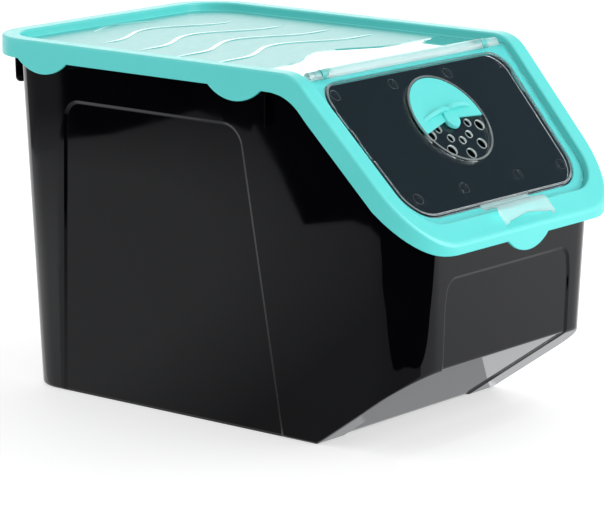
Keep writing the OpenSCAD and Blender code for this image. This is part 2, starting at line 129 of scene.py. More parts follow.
def rounded(corners: list, radii: list[float], steps: int, spacing: float) -> Edge:
    """A closed outline with rounded corners, which may turn either way.

    Args:
        corners: Corners, anticlockwise.
        radii: Radius at each corner.
        steps: Segments in each rounded corner.
        spacing: Longest piece of a straight side.

    Returns:
        The outline, corner by corner.
    """
    places = np.array(corners, float)
    befores, afters = np.roll(places, 1, axis=0), np.roll(places, -1, axis=0)
    bends = []
    for before, place, after, radius in zip(befores, places, afters, radii):
        back, ahead = unit(before - place), unit(after - place)
        half = math.acos(np.clip(back @ ahead, -1, 1)) / 2
        side = 1 if back[1] * ahead[0] > back[0] * ahead[1] else -1
        start = math.atan2(side * back[0], -side * back[1])
        angles = start + side * (math.pi - 2 * half) * np.arange(steps + 1) / steps
        ray = columns(np.cos(angles), np.sin(angles))
        centre = place + unit(back + ahead) * radius / math.sin(half)
        bends.append(Edge(centre + radius * ray, side * ray))
    parts = []
    for bend, following in zip(bends, bends[1:] + bends[:1]):
        start, end = bend.points[-1], following.points[0]
        cuts = max(1, math.ceil(np.linalg.norm(end - start) / spacing))
        line = start + np.outer(np.arange(1, cuts) / cuts, end - start)
        parts += [bend, Edge(line, np.tile(bend.outward[-1], (cuts - 1, 1)))]
    return joined(*parts)


def inside(points: Array, outline: Array) -> Array:
    """Which points lie inside a closed outline, by crossings of a ray along +X.

    Args:
        points: The points.
        outline: The outline's points.

    Returns:
        True for each point inside.
    """
    x, y = points[:, 0], points[:, 1]
    hit = np.zeros(len(points), bool)
    for (x0, y0), (x1, y1) in zip(outline, np.roll(outline, -1, axis=0)):
        if y0 == y1:
            continue
        spans = (y0 > y) != (y1 > y)
        hit ^= spans & (x < x0 + (x1 - x0) * (y - y0) / (y1 - y0))
    return hit


def smoothstep(value: Array | float) -> Array | float:
    """A soft step from 0 to 1."""
    t = np.clip(value, 0, 1)
    return t * t * (3 - 2 * t)


# ------------------------ meshes


def in_metres(lengths: tuple[float, ...] | Array) -> tuple[float, ...]:
    """Lengths in millimetres, turned into metres."""
    return tuple(length * MM for length in lengths)


def add_object(name: str, data: bpy.types.ID | None) -> bpy.types.Object:
    """Adds an object to the scene.

    Args:
        name: Name of the object.
        data: Its mesh, lamp or camera.

    Returns:
        The object.
    """
    obj = bpy.data.objects.new(name, data)
    bpy.context.scene.collection.objects.link(obj)
    return obj


class MeshDraft:
    """Points and faces of one piece, in millimetres, until they become an object."""

    def __init__(self) -> None:
        """An empty draft."""
        self.points: list[Array] = []
        self.faces: list[tuple[int, ...]] = []
        self.finishes: list[int] = []

    def ring(self, points: Array) -> Array:
        """Adds points, as rows of x, y and z, and gives their numbers."""
        self.points.extend(np.asarray(points, float))
        return np.arange(len(self.points) - len(points), len(self.points))

    def face(self, corners: Array | list[int], finish: int = 0) -> None:
        """Adds one face."""
        self.faces.append(tuple(int(i) for i in corners))
        self.finishes.append(finish)

    def bridge(self, low: Array, high: Array, closed: bool = True, finish: int = 0) -> None:
        """Joins two rings of equal length with four-sided faces.

        Args:
            low: Numbers of the first ring, anticlockwise as seen from the far end of the second.
            high: Numbers of the second ring.
            closed: Whether the rings close on themselves.
            finish: Material slot of the faces.
        """
        count = len(low)
        for i in range(count if closed else count - 1):
            j = (i + 1) % count
            self.face([low[i], low[j], high[j], high[i]], finish)

    def loft(self, rings: list[Array], closed: bool = True, finish: int = 0) -> list[Array]:
        """Adds rings of points and joins each to the next.

        Args:
            rings: Points of each ring.
            closed: Whether the rings close on themselves.
            finish: Material slot of the faces.

        Returns:
            The numbers of each ring's points.
        """
        numbers = [self.ring(points) for points in rings]
        for low, high in zip(numbers, numbers[1:]):
            self.bridge(low, high, closed, finish)
        return numbers

    def capped(self, rings: list[Array]) -> None:
        """A closed solid through rings, with a flat face at each end."""
        numbers = self.loft(rings)
        self.ends(numbers[0], numbers[-1])

    def slab(self, edge: Edge, steps: list[Pair], place: Callable[[Array, float], Array]) -> None:
        """A closed solid whose rings lie out from an outline and up, in places that "place" gives."""
        self.capped([place(edge.grown(out), rise) for out, rise in steps])

    def ends(self, low: Array | list[int], high: Array | list[int]) -> None:
        """Closes the two ends of a piece with a flat face each."""
        self.face(low[::-1])
        self.face(high)

    def plugged(self, rows: list[Array]) -> list[Array]:
        """Lofts open rows, whose outer points are the outlines of the piece's two ends.

        Args:
            rows: Points of each row, from end to end.

        Returns:
            The numbers of each row's points.
        """
        numbers = self.loft(rows, closed=False)
        self.ends([row[-1] for row in numbers], [row[0] for row in numbers])
        return numbers

    def patch(self, flat: Array, numbers: Array, loops: list[Array],
              finish: int = 0, flip: bool = False) -> None:
        """Fills a region of the plane with triangles over points that are in the draft.

        Args:
            flat: Place of every point in the plane.
            numbers: Number of every point in the draft.
            loops: The outer loop, then the holes, each as rows of flat.
            finish: Material slot of the faces.
            flip: Whether the faces point the other way.
        """
        edges = [(int(a), int(b)) for loop in loops for a, b in zip(loop, np.roll(loop, -1))]
        found = delaunay_2d_cdt([Vector(p) for p in flat], edges, [], 0, 1e-5, True)
        source = [ids[0] if ids else -1 for ids in found[3]]
        triangles = [[source[i] for i in face] for face in found[2]]
        triangles = np.array([t for t in triangles if min(t) >= 0 and len(set(t)) == 3])
        middles = flat[triangles].mean(axis=1)
        keep = inside(middles, flat[loops[0]])
        for hole in loops[1:]:
            keep &= ~inside(middles, flat[hole])
        for triangle in triangles[keep]:
            self.face(numbers[triangle[::-1] if flip else triangle], finish)

    def build(self, name: str, materials: list[Material],
              sharp: float = 35.0) -> bpy.types.Object:
        """Makes the object.

        Args:
            name: Name of the piece.
            materials: Its material slots.
            sharp: Edges that turn by more degrees than this are drawn sharp.

        Returns:
            The object, in the scene.
        """
        mesh = bpy.data.meshes.new(name)
        mesh.from_pydata([in_metres(p) for p in self.points], [], self.faces)
        mesh.polygons.foreach_set("material_index", self.finishes)
        for material in materials:
            mesh.materials.append(material)
        obj = add_object(name, mesh)
        draft = bmesh.new()
        draft.from_mesh(mesh)
        bmesh.ops.remove_doubles(draft, verts=draft.verts, dist=1e-6)
        bmesh.ops.recalc_face_normals(draft, faces=draft.faces)
        draft.to_mesh(mesh)
        draft.free()
        mesh.validate()
        mesh.shade_smooth()
        mesh.set_sharp_from_angle(angle=math.radians(sharp))
        even = obj.modifiers.new("even_normals", "WEIGHTED_NORMAL")
        even.keep_sharp = True
        return obj


def softened(foot: float, head: float, soft: float, bevel: float) -> list[Pair]:
    """Steps of a slab with softened edges: how far out each ring lies, and its height."""
    low = [(-soft, foot), (-bevel, foot + bevel), (0, foot + soft)]
    return low + [(0, head - soft), (-bevel, head - bevel), (-soft, head)]


def fillet(wall: Array, corner: Array, floor: Array, steps: int) -> list[Array]:
    """Rings that turn from one surface to another, past a ring of corner points."""
    shares = [k / steps for k in range(steps + 1)]
    return [(1 - s) ** 2 * wall + 2 * s * (1 - s) * corner + s**2 * floor for s in shares]


# ------------------------ the bent top


@dataclass(frozen=True)
class BentTop:
    """The surface that the rim lies in: level at the rear, bent down towards the front.

    A place on it is given by x, by u, the distance past the bend (less than zero on the level
    part), and by the depth below it.
    """

    half_width: float
    rear_y: float
    front_y: float
    height: float
    slope_length: float = 139.7
    slope_angle: float = 46.3
    bend_radius: float = 26.0

    @classmethod
    def from_frame(cls) -> "BentTop":
        """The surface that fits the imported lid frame."""
        low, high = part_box("lid_frame")
        return cls(high.x / MM, high.y / MM, low.y / MM, high.z / MM)

    @property
    def sin(self) -> float:
        """Sine of the slope."""
        return math.sin(math.radians(self.slope_angle))

    @property
    def cos(self) -> float:
        """Cosine of the slope."""
        return math.cos(math.radians(self.slope_angle))

    @property
    def down(self) -> Array:
        """Direction down the slope."""
        return np.array([0, -self.cos, -self.sin])

    @property
    def out(self) -> Array:
        """Direction square to the slope, outwards."""
        return np.array([0, -self.sin, self.cos])

    @property
    def bend_y(self) -> float:
        """Where the level and sloping planes would meet."""
        return self.front_y + self.slope_length * self.cos

    @property
    def tangent(self) -> float:
        """Distance from that meeting line to where the bend starts."""
        return self.bend_radius * math.tan(math.radians(self.slope_angle / 2))

    def at(self, flat: Array, depth: float | Array) -> Array:
        """Places in space of points given by x and u.

        Args:
            flat: Rows of x and u.
            depth: Depth below the surface, square to it.

        Returns:
            Rows of x, y and z.
        """
        x, u = flat[:, 0], flat[:, 1]
        t = self.tangent
        angle = np.radians(self.slope_angle) * np.clip((u + t) / (2 * t), 0, 1)
        y = self.bend_y + t - self.bend_radius * np.sin(angle)
        z = self.height - self.bend_radius + self.bend_radius * np.cos(angle)
        y = np.where(u < -t, self.bend_y - u, y)
        y = np.where(u > t, self.bend_y - u * self.cos, y)
        z = np.where(u > t, self.height - u * self.sin, z)
        return columns(x, y + depth * np.sin(angle), z - depth * np.cos(angle))

    def height_at(self, y: Array, depth: float | Array) -> Array:
        """Height of the surface that lies at a depth.

        Args:
            y: Places along Y.
            depth: Depth below the rim, square to it.

        Returns:
            The height at each place.
        """
        radius = self.bend_radius - depth
        middle = self.bend_y + self.tangent
        level_part = self.height - depth
        reach = np.clip(middle - y, 0, None)
        round_part = self.height - self.bend_radius + np.sqrt(np.clip(radius**2 - reach**2, 0, None))
        sloping = self.height - (self.bend_y - y) * self.sin / self.cos - depth / self.cos
        result = np.where(reach > 0, round_part, level_part)
        return np.where(reach > radius * self.sin, sloping, result)

    def on_slope(self, flat: Array, rise: float | Array) -> Array:
        """Places of points on the sloping plane, which runs on past the bend.

        Args:
            flat: Rows of x and the distance down the slope.
            rise: Height above the plane, square to it.

        Returns:
            Rows of x, y and z.
        """
        x, v = flat[:, 0], flat[:, 1]
        y = self.bend_y - v * self.cos - rise * self.sin
        z = self.height - v * self.sin + rise * self.cos
        return columns(x, y, z)


# ------------------------ finishes


def add_node(tree: bpy.types.NodeTree, kind: str, choice: dict[str, str] | None = None,
             **inputs: object) -> bpy.types.Node:
    """Adds a shader node.

    Args:
        tree: The tree that it goes into.
        kind: Its type, without the word that every type starts with.
        choice: Its settings, which decide what inputs it has.
        inputs: A value or another node's socket for each input, by name with _ for a space.

    Returns:
        The node.
    """
    node = tree.nodes.new(f"ShaderNode{kind}")
    for name, value in (choice or {}).items():
        setattr(node, name, value)
    return filled(node, **inputs)


def filled(node: bpy.types.Node, **inputs: object) -> bpy.types.Node:
    """Fills the inputs of a node.

    Args:
        node: The node.
        inputs: A value or another node's socket for each input, by name with _ for a space.

    Returns:
        The same node.
    """
    for name, value in inputs.items():
        socket = node.inputs[name.replace("_", " ")]
        if isinstance(value, Socket):
            node.id_data.links.new(value, socket)
        else:
            socket.default_value = value
    return node


def bare_material(name: str) -> Material:
    """A material that has no nodes yet.

    Args:
        name: Name of the material.

    Returns:
        The material.
    """
    material = bpy.data.materials.new(name)
    material.use_nodes = True
    material.node_tree.nodes.clear()
    return material


class Finish:
    """A finish: a Principled material with its own grain."""

    def __init__(self, name: str) -> None:
        """Starts a material with one shader.

        Args:
            name: Name of the material.
        """
        self.material = bare_material(name)
        self.tree = self.material.node_tree
        self.shader = add_node(self.tree, "BsdfPrincipled")
        add_node(self.tree, "OutputMaterial", Surface=self.shader.outputs["BSDF"])
        self.place = add_node(self.tree, "TexCoord").outputs["Object"]

    def noise(self, scale: float, detail: float) -> Socket:
        """A noise over the piece, in cycles per metre."""
        return add_node(self.tree, "TexNoise", Vector=self.place, Scale=scale, Detail=detail).outputs["Fac"]

    def between(self, value: Socket, low: float, high: float) -> Socket:
        """The middle reach of a noise, spread over a range.

        Args:
            value: The noise.
            low: What its low side becomes.
            high: What its high side becomes.

        Returns:
            The spread value.
        """
        spread = add_node(self.tree, "MapRange", Value=value, From_Min=0.3, From_Max=0.7,
                          To_Min=low, To_Max=high)
        return spread.outputs["Result"]

    def blend(self, value: Socket, low: tuple, high: tuple) -> Socket:
        """A colour between two, led by a noise.

        Args:
            value: The noise.
            low: Colour at its low side.
            high: Colour at its high side.

        Returns:
            The colour.
        """
        share = self.between(value, 0, 1)
        mix = add_node(self.tree, "Mix", {"data_type": "RGBA"}, Factor=share, A=(*low, 1), B=(*high, 1))
        return mix.outputs["Result"]

    def bumped(self, *heights: tuple[Socket, float]) -> None:
        """Leads bumps into the shader.

        Args:
            heights: Noises, each with its depth in metres.
        """
        below = {}
        for height, depth in heights:
            bump = add_node(self.tree, "Bump", Height=height, Strength=1.0, Distance=depth, **below)
            below = {"Normal": bump.outputs["Normal"]}
        self.set(**below)

    def set(self, **inputs: object) -> None:
        """Fills inputs of the shader, by name with _ for a space."""
        filled(self.shader, **inputs)


def from_screen(red: int, green: int, blue: int) -> Triple:
    """A colour in linear light, from the numbers that a screen shows."""
    shares = [channel / 255 for channel in (red, green, blue)]
    return tuple(s / 12.92 if s <= 0.04045 else ((s + 0.055) / 1.055) ** 2.4 for s in shares)


# In each finish, sheen is the lowest and highest roughness, scales are in cycles per metre, and
# the depths of ripples, waves, grain and relief are in metres.


@dataclass(frozen=True)
class GlossBlack:
    """Polished black plastic with a faint ripple and a haze that comes and goes."""

    name: str = "gloss_black"
    dark: tuple = from_screen(1, 1, 3)
    light: tuple = from_screen(4, 4, 7)
    cloud_scale: float = 14
    sheen: Pair = (0.03, 0.05)
    haze_scale: float = 60
    ripple: float = 0.000004
    ripple_scale: float = 55
    refraction: float = 1.5
    shine: float = 0.5
    tint: tuple = (1.0, 1.0, 1.0)

    def make(self) -> Material:
        """Makes the material.

        Returns:
            The material.
        """
        finish = Finish(self.name)
        finish.set(
            Base_Color=finish.blend(finish.noise(self.cloud_scale, 3), self.dark, self.light),
            Roughness=finish.between(finish.noise(self.haze_scale, 4), *self.sheen),
            IOR=self.refraction, Specular_IOR_Level=self.shine, Specular_Tint=(*self.tint, 1))
        finish.bumped((finish.noise(self.ripple_scale, 1), self.ripple))
        return finish.material


@dataclass(frozen=True)
class Moulding:
    """How a moulded surface looks.

    The shine is that of the plastic itself, the skin is the weight of a clear layer over it, and depth
    scales the colour down: below 1 it is painted shade, which offsets the light that the skin reflects.
    """

    sheen: Pair
    grain: float
    shine: float
    skin: float
    skin_roughness: float
    depth: float


class Teal(Enum):
    """The surfaces that the teal plastic has."""

    SATIN = Moulding((0.30, 0.38), 0.000008, 0.9, 0.0, 0.3, 1.0)
    # The frosted and polished copies take the colour at 0.7, a painted shade.
    FROSTED = Moulding((0.42, 0.52), 0.00003, 0.5, 1.0, 0.42, 0.7)
    POLISHED = Moulding((0.04, 0.07), 0.000001, 0.5, 1.0, 0.03, 0.7)


@dataclass(frozen=True)
class TealPlastic:
    """Teal plastic, coloured right through, with a moulded surface."""

    surface: Teal
    dark: tuple = from_screen(80, 211, 207)
    light: tuple = from_screen(86, 216, 212)
    cloud_scale: float = 9
    haze_scale: float = 170
    grain_scale: float = 1500
    wave: float = 0.00001
    wave_scale: float = 40
    refraction: float = 1.5

    def make(self) -> Material:
        """Makes the material.

        Returns:
            The material.
        """
        look = self.surface.value
        finish = Finish(f"teal_{self.surface.name.lower()}")
        # Depth darkens the colour: painted shade on the frosted and polished copies.
        dark, light = ([channel * look.depth for channel in tone] for tone in (self.dark, self.light))
        finish.set(
            Base_Color=finish.blend(finish.noise(self.cloud_scale, 3), dark, light),
            Roughness=finish.between(finish.noise(self.haze_scale, 3), *look.sheen),
            IOR=self.refraction, Specular_IOR_Level=look.shine,
            Coat_Weight=look.skin, Coat_Roughness=look.skin_roughness)
        finish.bumped((finish.noise(self.grain_scale, 2), look.grain),
                      (finish.noise(self.wave_scale, 1), self.wave))
        return finish.material


@dataclass(frozen=True)
class ClearPlastic:
    """Clear plastic with a soft waviness."""

    name: str = "clear_plastic"
    tint: tuple = from_screen(250, 253, 254)
    sheen: Pair = (0.01, 0.03)
    haze_scale: float = 80
    relief: float = 0.00002
    relief_scale: float = 28
    relief_detail: float = 1
    refraction: float = 1.49
    shine: float = 0.2
    clearness: float = 1.0

    def make(self) -> Material:
        """Makes the material.

        Returns:
            The material.
        """
        finish = Finish(self.name)
        finish.set(
            Base_Color=(*self.tint, 1), Transmission_Weight=self.clearness,
            IOR=self.refraction, Specular_IOR_Level=self.shine,
            Roughness=finish.between(finish.noise(self.haze_scale, 3), *self.sheen))
        finish.bumped((finish.noise(self.relief_scale, self.relief_detail), self.relief))
        return finish.material


@dataclass(frozen=True)
class FrostedPlastic(ClearPlastic):
    """The same plastic with an etched, milky surface."""

    name: str = "frosted_plastic"
    tint: tuple = from_screen(232, 247, 247)
    sheen: Pair = (0.35, 0.48)
    haze_scale: float = 200
    relief: float = 0.000003
    relief_scale: float = 700
    relief_detail: float = 2
    shine: float = 0.5
    clearness: float = 0.9


# ------------------------ lid frame


class FrameSlot(IntEnum):
    """Material slots of the lid frame's shell."""

    RIM = 0
    PANEL = 1
    APRON = 2


@dataclass
class LidFrame:
    """The teal frame: rim, skirt with pull tabs, recessed panel with waved ribs, and window.

    The pull tabs on the sides lie at distances behind the bend.  Each rib is its place and its
    half width, as shares of the level part's length and of the recess's half width.  A lug's pegs
    are given by steps: how far past the lug, and the radius there.
    """

    top: BentTop
    corner_radius: float = 40.0
    thickness: float = 2.0
    rim_width: float = 11.8
    recess: float = 6.0
    recess_taper: float = 0.073
    front_rim: float = 16.4
    skirt: float = 13.0
    skirt_bend: float = 35.0
    foot_turn: float = 38.0
    foot_angle: float = 39.0
    foot_blend: float = 4.0
    front_skirt: float = 8.0
    edge_radius: float = 1.5
    lip_radius: float = 1.4
    floor_fillet: float = 1.2
    tab_width: float = 43.0
    tab_drop: float = 8.6
    tab_places: Pair = (213.1, 48.2)
    draw_in_share: float = 0.1
    draw_in_slope: float = 0.1
    scoop_depth: float = 1.3
    scoop_half: float = 31.0
    scoop_span: Pair = (118.0, 139.0)
    scoop_fades: Triple = (7.0, 6.0, 9.0)
    window_margin: float = 7.5
    window_span: Pair = (6.0, 116.1)
    window_radii: Pair = (18.0, 25.0)
    window_edge: float = 0.5
    rib_swing: float = 20.5
    rib_width: float = 4.4
    rib_height: float = 0.9
    rib_sink: float = 0.25
    wave_share: float = 0.547
    ribs: tuple = ((0.338, 0.79), (0.471, 0.767), (0.607, 0.70), (0.754, 0.623), (0.870, 0.305))
    apron_share: float = 0.193
    apron_drop: float = 0.6
    apron_step: float = 0.9
    apron_front: float = 12.0
    polish_front: float = 8.0
    hinge: Pair = (0.2, -5.7)
    lug_span: Pair = (81.8, 87.2)
    lug_radius: float = 3.0
    lug_foot: Pair = (3.4, 4.6)
    peg_steps: tuple = ((5.6, 0.9), (5.2, 1.4), (4.8, 1.55))
    groove_radius: float = 3.8
    groove_skin: float = 1.8
    groove_half: float = 100.2

    @property
    def flat_length(self) -> float:
        """Length of the level part."""
        return self.top.rear_y - self.top.bend_y

    @property
    def recess_half(self) -> float:
        """Half width of the recess on the level part."""
        return self.top.half_width - self.rim_width

    @property
    def recess_front(self) -> float:
        """Distance down the slope to the front of the recess."""
        return self.top.slope_length - self.front_rim

    @property
    def recess_radius(self) -> float:
        """Corner radius of the recess."""
        return self.corner_radius - self.rim_width

    def half_at(self, v: Array | float) -> Array | float:
        """Half width of the recess at a distance down the slope."""
        return self.recess_half - self.recess_taper * np.maximum(v, 0)

    # -- stations that the outer edge and the edge of the recess share

    def side_stations(self) -> tuple[Array, Array, Array]:
        """Distances past the bend of the points along a side.

        Returns:
            Those on the slope, those round the bend and those along the level part.
        """
        tangent, tab = self.top.tangent, self.tab_width / 2
        kink = self.draw_in_share * self.top.slope_length
        turn = self.top.slope_length - self.foot_turn / self.top.cos
        slope = np.concatenate([[turn + 3], np.linspace(turn, 2 * kink - tangent, 12), [kink, tangent]])
        bend = np.linspace(tangent, -tangent, 17)[1:-1]
        far, near = (-place for place in self.tab_places)
        level_part = np.concatenate([
            [-tangent, -18.0],
            np.linspace(near + tab, near - tab, 25),
            np.linspace(near - tab, far + tab, 16)[1:-1],
            np.linspace(far + tab, self.corner_radius - self.flat_length, 23),
        ])
        return slope, bend, level_part

    def corner_angles(self) -> Array:
        """Angles round a rear corner.

        Returns:
            The angles in degrees, with one where the pull tab ends.
        """
        past = self.tab_places[0] + self.tab_width / 2 - self.flat_length + self.corner_radius
        first = math.degrees(math.asin(past / self.corner_radius))
        return np.concatenate([[first / 2, first], np.linspace(first, 90, 14)[1:-1]])

    def front_stations(self, end: float) -> Array:
        """Places across the front edge, from the middle to where its corner starts."""
        tab = self.tab_width / 2
        return np.concatenate([np.linspace(0, tab, 13), np.linspace(tab, end, 9)[1:-1]])

    def outer_edge(self) -> Edge:
        """Plan of the outside of the frame, in x and y.

        Returns:
            The whole outline; its sides run in a little towards the front.
        """
        top, radius = self.top, self.corner_radius
        lean = math.atan(self.draw_in_slope)
        sin, cos = math.sin(lean), math.cos(lean)
        draw_y = top.bend_y - self.draw_in_share * (top.bend_y - top.front_y)
        foot_x = top.half_width - self.draw_in_slope * (draw_y - top.front_y)
        centre = (foot_x - radius * (1 - sin) / cos, top.front_y + radius)
        kink_y = draw_y + radius * math.tan(lean / 2)
        front = straight(self.front_stations(centre[0]), top.front_y, (0, -1))
        corner = arc(centre, radius, np.linspace(-90, -math.degrees(lean), 15)[:-1])
        slope, bend, level_part = self.side_stations()
        slope[0] = (top.bend_y - centre[1] + radius * sin) / top.cos
        past_bend = [top.at(columns(0, u), 0)[:, 1] for u in (slope, bend)]
        side = straight(top.half_width, np.concatenate([*past_bend, top.bend_y - level_part]), (1, 0))
        x, y = side.points.T
        bent = (y < kink_y) & (y >= kink_y - radius * sin)
        x[bent] = top.half_width - radius + np.sqrt(radius**2 - (y[bent] - kink_y) ** 2)
        side.outward[bent] = columns(x[bent] - top.half_width + radius, y[bent] - kink_y) / radius
        drawn = y < kink_y - radius * sin
        x[drawn] = foot_x + (y[drawn] - top.front_y) * self.draw_in_slope
        side.outward[drawn] = [cos, -sin]
        rear_centre = (top.half_width - radius, top.rear_y - radius)
        rear = self.rear_edge(arc(rear_centre, radius, self.corner_angles()), top.rear_y)
        return joined(front, corner, side, rear).mirrored()

    def rear_edge(self, corner: Edge, rear: float) -> Edge:
        """A rear corner and the rear edge after it, to the middle."""
        xs = np.linspace(self.top.half_width - self.corner_radius, 0, 12)
        return joined(corner, straight(xs, rear, (0, 1)))

    def recess_edge(self) -> Edge:
        """Edge of the recess, in x and minus the distance past the bend.

        Returns:
            The whole outline, anticlockwise from above.
        """
        radius, tangent = self.recess_radius, self.top.tangent
        lean = math.atan(self.recess_taper)
        centre_v = self.recess_front - radius
        centre = (self.half_at(centre_v) - radius / math.cos(lean), -centre_v)
        stations = self.front_stations(self.top.half_width - self.corner_radius - 4)
        front = straight(stations / stations[-1] * centre[0] * 0.98, -self.recess_front, (0, -1))
        corner = arc(centre, radius, np.linspace(-90, -math.degrees(lean), 15)[:-1])
        slope, bend, level_part = self.side_stations()
        start = centre_v + radius * math.sin(lean)
        slope = start + (slope - slope[0]) * (tangent - start) / (slope[-1] - slope[0])
        us = np.concatenate([slope, bend, level_part])
        turn = smoothstep((us + tangent) / (2 * tangent)) * lean
        side = Edge(columns(self.half_at(us), -us), columns(np.cos(turn), -np.sin(turn)))
        rear_y = self.flat_length - self.rim_width
        rear_corner = arc((self.recess_half - radius, rear_y - radius), radius, self.corner_angles())
        return joined(front, corner, side, self.rear_edge(rear_corner, rear_y)).mirrored()

    def outer_ring(self, edge: Edge, inset: float, depth: float) -> Array:
        """A ring of the outside, at a depth below the rim."""
        flat = edge.grown(-inset)
        return np.column_stack([flat, self.top.height_at(flat[:, 1], depth)])

    def skirt_line(self, y: Array) -> Array:
        """Height of the skirt's lower edge, without its pull tabs.

        It is level, bends down the slope, then falls less steeply round the front corner.

        Args:
            y: Places along Y.

        Returns:
            The height at each place.
        """
        top, radius = self.top, self.skirt_bend
        half_turn = math.tan(math.radians(top.slope_angle / 2))
        middle_y = top.bend_y + (self.skirt + radius) * half_turn
        reach = np.clip(middle_y - y, 0, None)
        bent = top.height - self.skirt - radius + np.sqrt(np.clip(radius**2 - reach**2, 0, None))
        steep = top.sin / top.cos
        sloping = top.height - (top.bend_y - y) * steep - self.skirt / top.cos
        foot = np.where(reach > radius * top.sin, sloping, bent)
        turn_y = top.front_y + self.foot_turn
        turn_z = top.height - (top.bend_y - turn_y) * steep - self.skirt / top.cos
        lowest = top.height - top.slope_length * top.sin - self.front_skirt
        rise = turn_z - (turn_y - y) * math.tan(math.radians(self.foot_angle)) - lowest
        softly = lowest + (rise + np.sqrt(rise**2 + self.foot_blend**2)) / 2
        return np.where(y < turn_y, softly, foot)

    def skirt_foot(self, edge: Edge) -> Array:
        """Height of the lower edge of the skirt, with its pull tabs.

        Args:
            edge: Outside of the frame.

        Returns:
            The height at each point.
        """
        x, y = edge.points.T
        top, half, drop = self.top, self.tab_width / 2, self.tab_drop
        foot = self.skirt_line(y)
        radius = (half**2 + drop**2) / (2 * drop)
        tabs = [(top.height - self.skirt, y - top.bend_y - place, np.abs(x) > top.half_width / 2)
                for place in self.tab_places]
        tabs.append((foot[0], x, y < 0))
        for head, along, here in tabs:
            disc = head - drop + radius - np.sqrt(np.clip(radius**2 - along**2, 0, None))
            foot = np.where(here & (np.abs(along) < half + 0.01), np.minimum(foot, disc), foot)
        return foot

    def recess_ring(self, edge: Edge, out: float, depth: float) -> Array:
        """A ring of the recess, at a depth below the rim."""
        return self.top.at(edge.grown(out) * [1, -1], depth)

    def scooped(self, ring: Array) -> Array:
        """Sinks rim points into the shallow hollow for a finger under the latch.

        Args:
            ring: Points of the rim.

        Returns:
            The points.
        """
        (start, end), (side_fade, head_fade, foot_fade) = self.scoop_span, self.scoop_fades
        down = (self.top.bend_y - ring[:, 1]) / self.top.cos
        across = smoothstep((self.scoop_half - np.abs(ring[:, 0])) / side_fade)
        along = smoothstep((down - start) / head_fade) * smoothstep((end - down) / foot_fade)
        return ring - np.outer(self.scoop_depth * across * along, self.top.out)

    # -- the frame itself

    def window(self) -> Edge:
        """Outline of the window.

        Returns:
            The outline, in x and minus the distance down the slope.
        """
        high, low = self.window_span
        wide, narrow = (self.half_at(v) - self.window_margin for v in (high, low))
        small, big = self.window_radii
        return rounded([(wide, -high), (-wide, -high), (-narrow, -low), (narrow, -low)],
                       [small, small, big, big], steps=14, spacing=5)

    def wave(self, x: Array) -> Array:
        """How far the middle of a rib or the apron's edge swings to the rear."""
        share = np.minimum(np.abs(x) / (self.wave_share * self.recess_half), 1)
        return self.rib_swing * (0.5 + 0.5 * np.cos(math.pi * share))

    def apron_line(self, x: Array) -> Array:
        """How far behind the bend the apron's waved edge lies."""
        return self.apron_share * self.flat_length + self.wave(x)

    def floor_points(self) -> Array:
        """Places between the edges of the floor.

        Returns:
            Rows across it, close together in the bend, and points along the apron's edge.
        """
        tangent, half, spacing = self.top.tangent, self.recess_half, 8.0
        rows = np.concatenate([
            np.arange(-self.flat_length + self.rim_width + spacing, -tangent, spacing),
            np.linspace(-tangent, tangent, 25),
        ])
        grid = np.stack(np.meshgrid(np.linspace(4 - half, half - 4, 27), -rows), -1).reshape(-1, 2)
        clear = np.abs(grid[:, 1] - self.apron_line(grid[:, 0])) > 2
        apron = np.linspace(3 - half, half - 3, 91)
        line = self.apron_line(apron)
        return np.vstack([grid[clear], columns(apron, line), columns(apron, line - self.apron_step)])

    def floor_depth(self, flat: Array) -> Array:
        """Depth of the floor, whose apron lies a little lower than the panel.

        Args:
            flat: Rows of x and the distance behind the bend.

        Returns:
            The depth at each place.
        """
        x, back = flat.T
        step = np.clip((self.apron_line(x) - back) / self.apron_step, 0, 1)
        beside = smoothstep((self.recess_half - 2 - np.abs(x)) / 4)
        ahead = smoothstep((back - self.apron_front) / 4)
        return self.recess + self.apron_drop * step * beside * ahead

    def grooved(self, places: Array, skin: float) -> Array:
        """Floor points, sunk round the hinge bar as far as its ears reach.

        Args:
            places: Points of the floor.
            skin: How far the surface lies outside the groove.

        Returns:
            The points.
        """
        middle = self.hinge_middle
        reach = (self.groove_radius + skin) ** 2 - (places[:, 1] - middle[1]) ** 2
        sunk = np.minimum(places[:, 2], middle[2] - np.sqrt(np.clip(reach, 0, None)))
        near = (reach > 0) & (np.abs(places[:, 0]) < self.groove_half)
        return np.column_stack([places[:, :2], np.where(near, sunk, places[:, 2])])

    def add_floor(self, draft: MeshDraft, edge: Edge, upper: Array, lower: Array) -> None:
        """Fills the recess round the window, above and below.

        Args:
            draft: The frame's draft.
            edge: Edge of the recess.
            upper: Numbers of the last ring above the floor.
            lower: Numbers of the last ring below it.
        """
        window = self.window()
        outline = edge.grown(-self.floor_fillet)
        loose = self.floor_points()
        loose = loose[inside(loose, edge.grown(-self.floor_fillet - 2)) & ~inside(loose, window.grown(2))]
        hole = window.grown(self.window_edge)
        flat = np.vstack([outline, hole, loose])
        rims = [np.arange(len(outline)), np.arange(len(outline), len(outline) + len(hole))]
        floor_foot = self.recess + self.thickness
        window_rims = []
        for under in (False, True):
            depth = np.full(len(flat), floor_foot) if under else self.floor_depth(flat)
            places = self.grooved(self.top.at(flat * [1, -1], depth), self.groove_skin if under else 0.0)
            ids = np.concatenate([lower if under else upper, draft.ring(places[len(outline):])])
            before = len(draft.faces)
            draft.patch(flat, ids, rims, FrameSlot.RIM, under)
            if not under:
                self.dress_floor(draft, before)
            window_rims.append(ids[rims[1]])
        walls = [draft.ring(self.recess_ring(window, 0, depth))
                 for depth in (self.recess + self.window_edge, floor_foot - self.window_edge)]
        rings = [window_rims[0], *walls, window_rims[1]]
        for high, low in zip(rings, rings[1:]):
            draft.bridge(high, low)

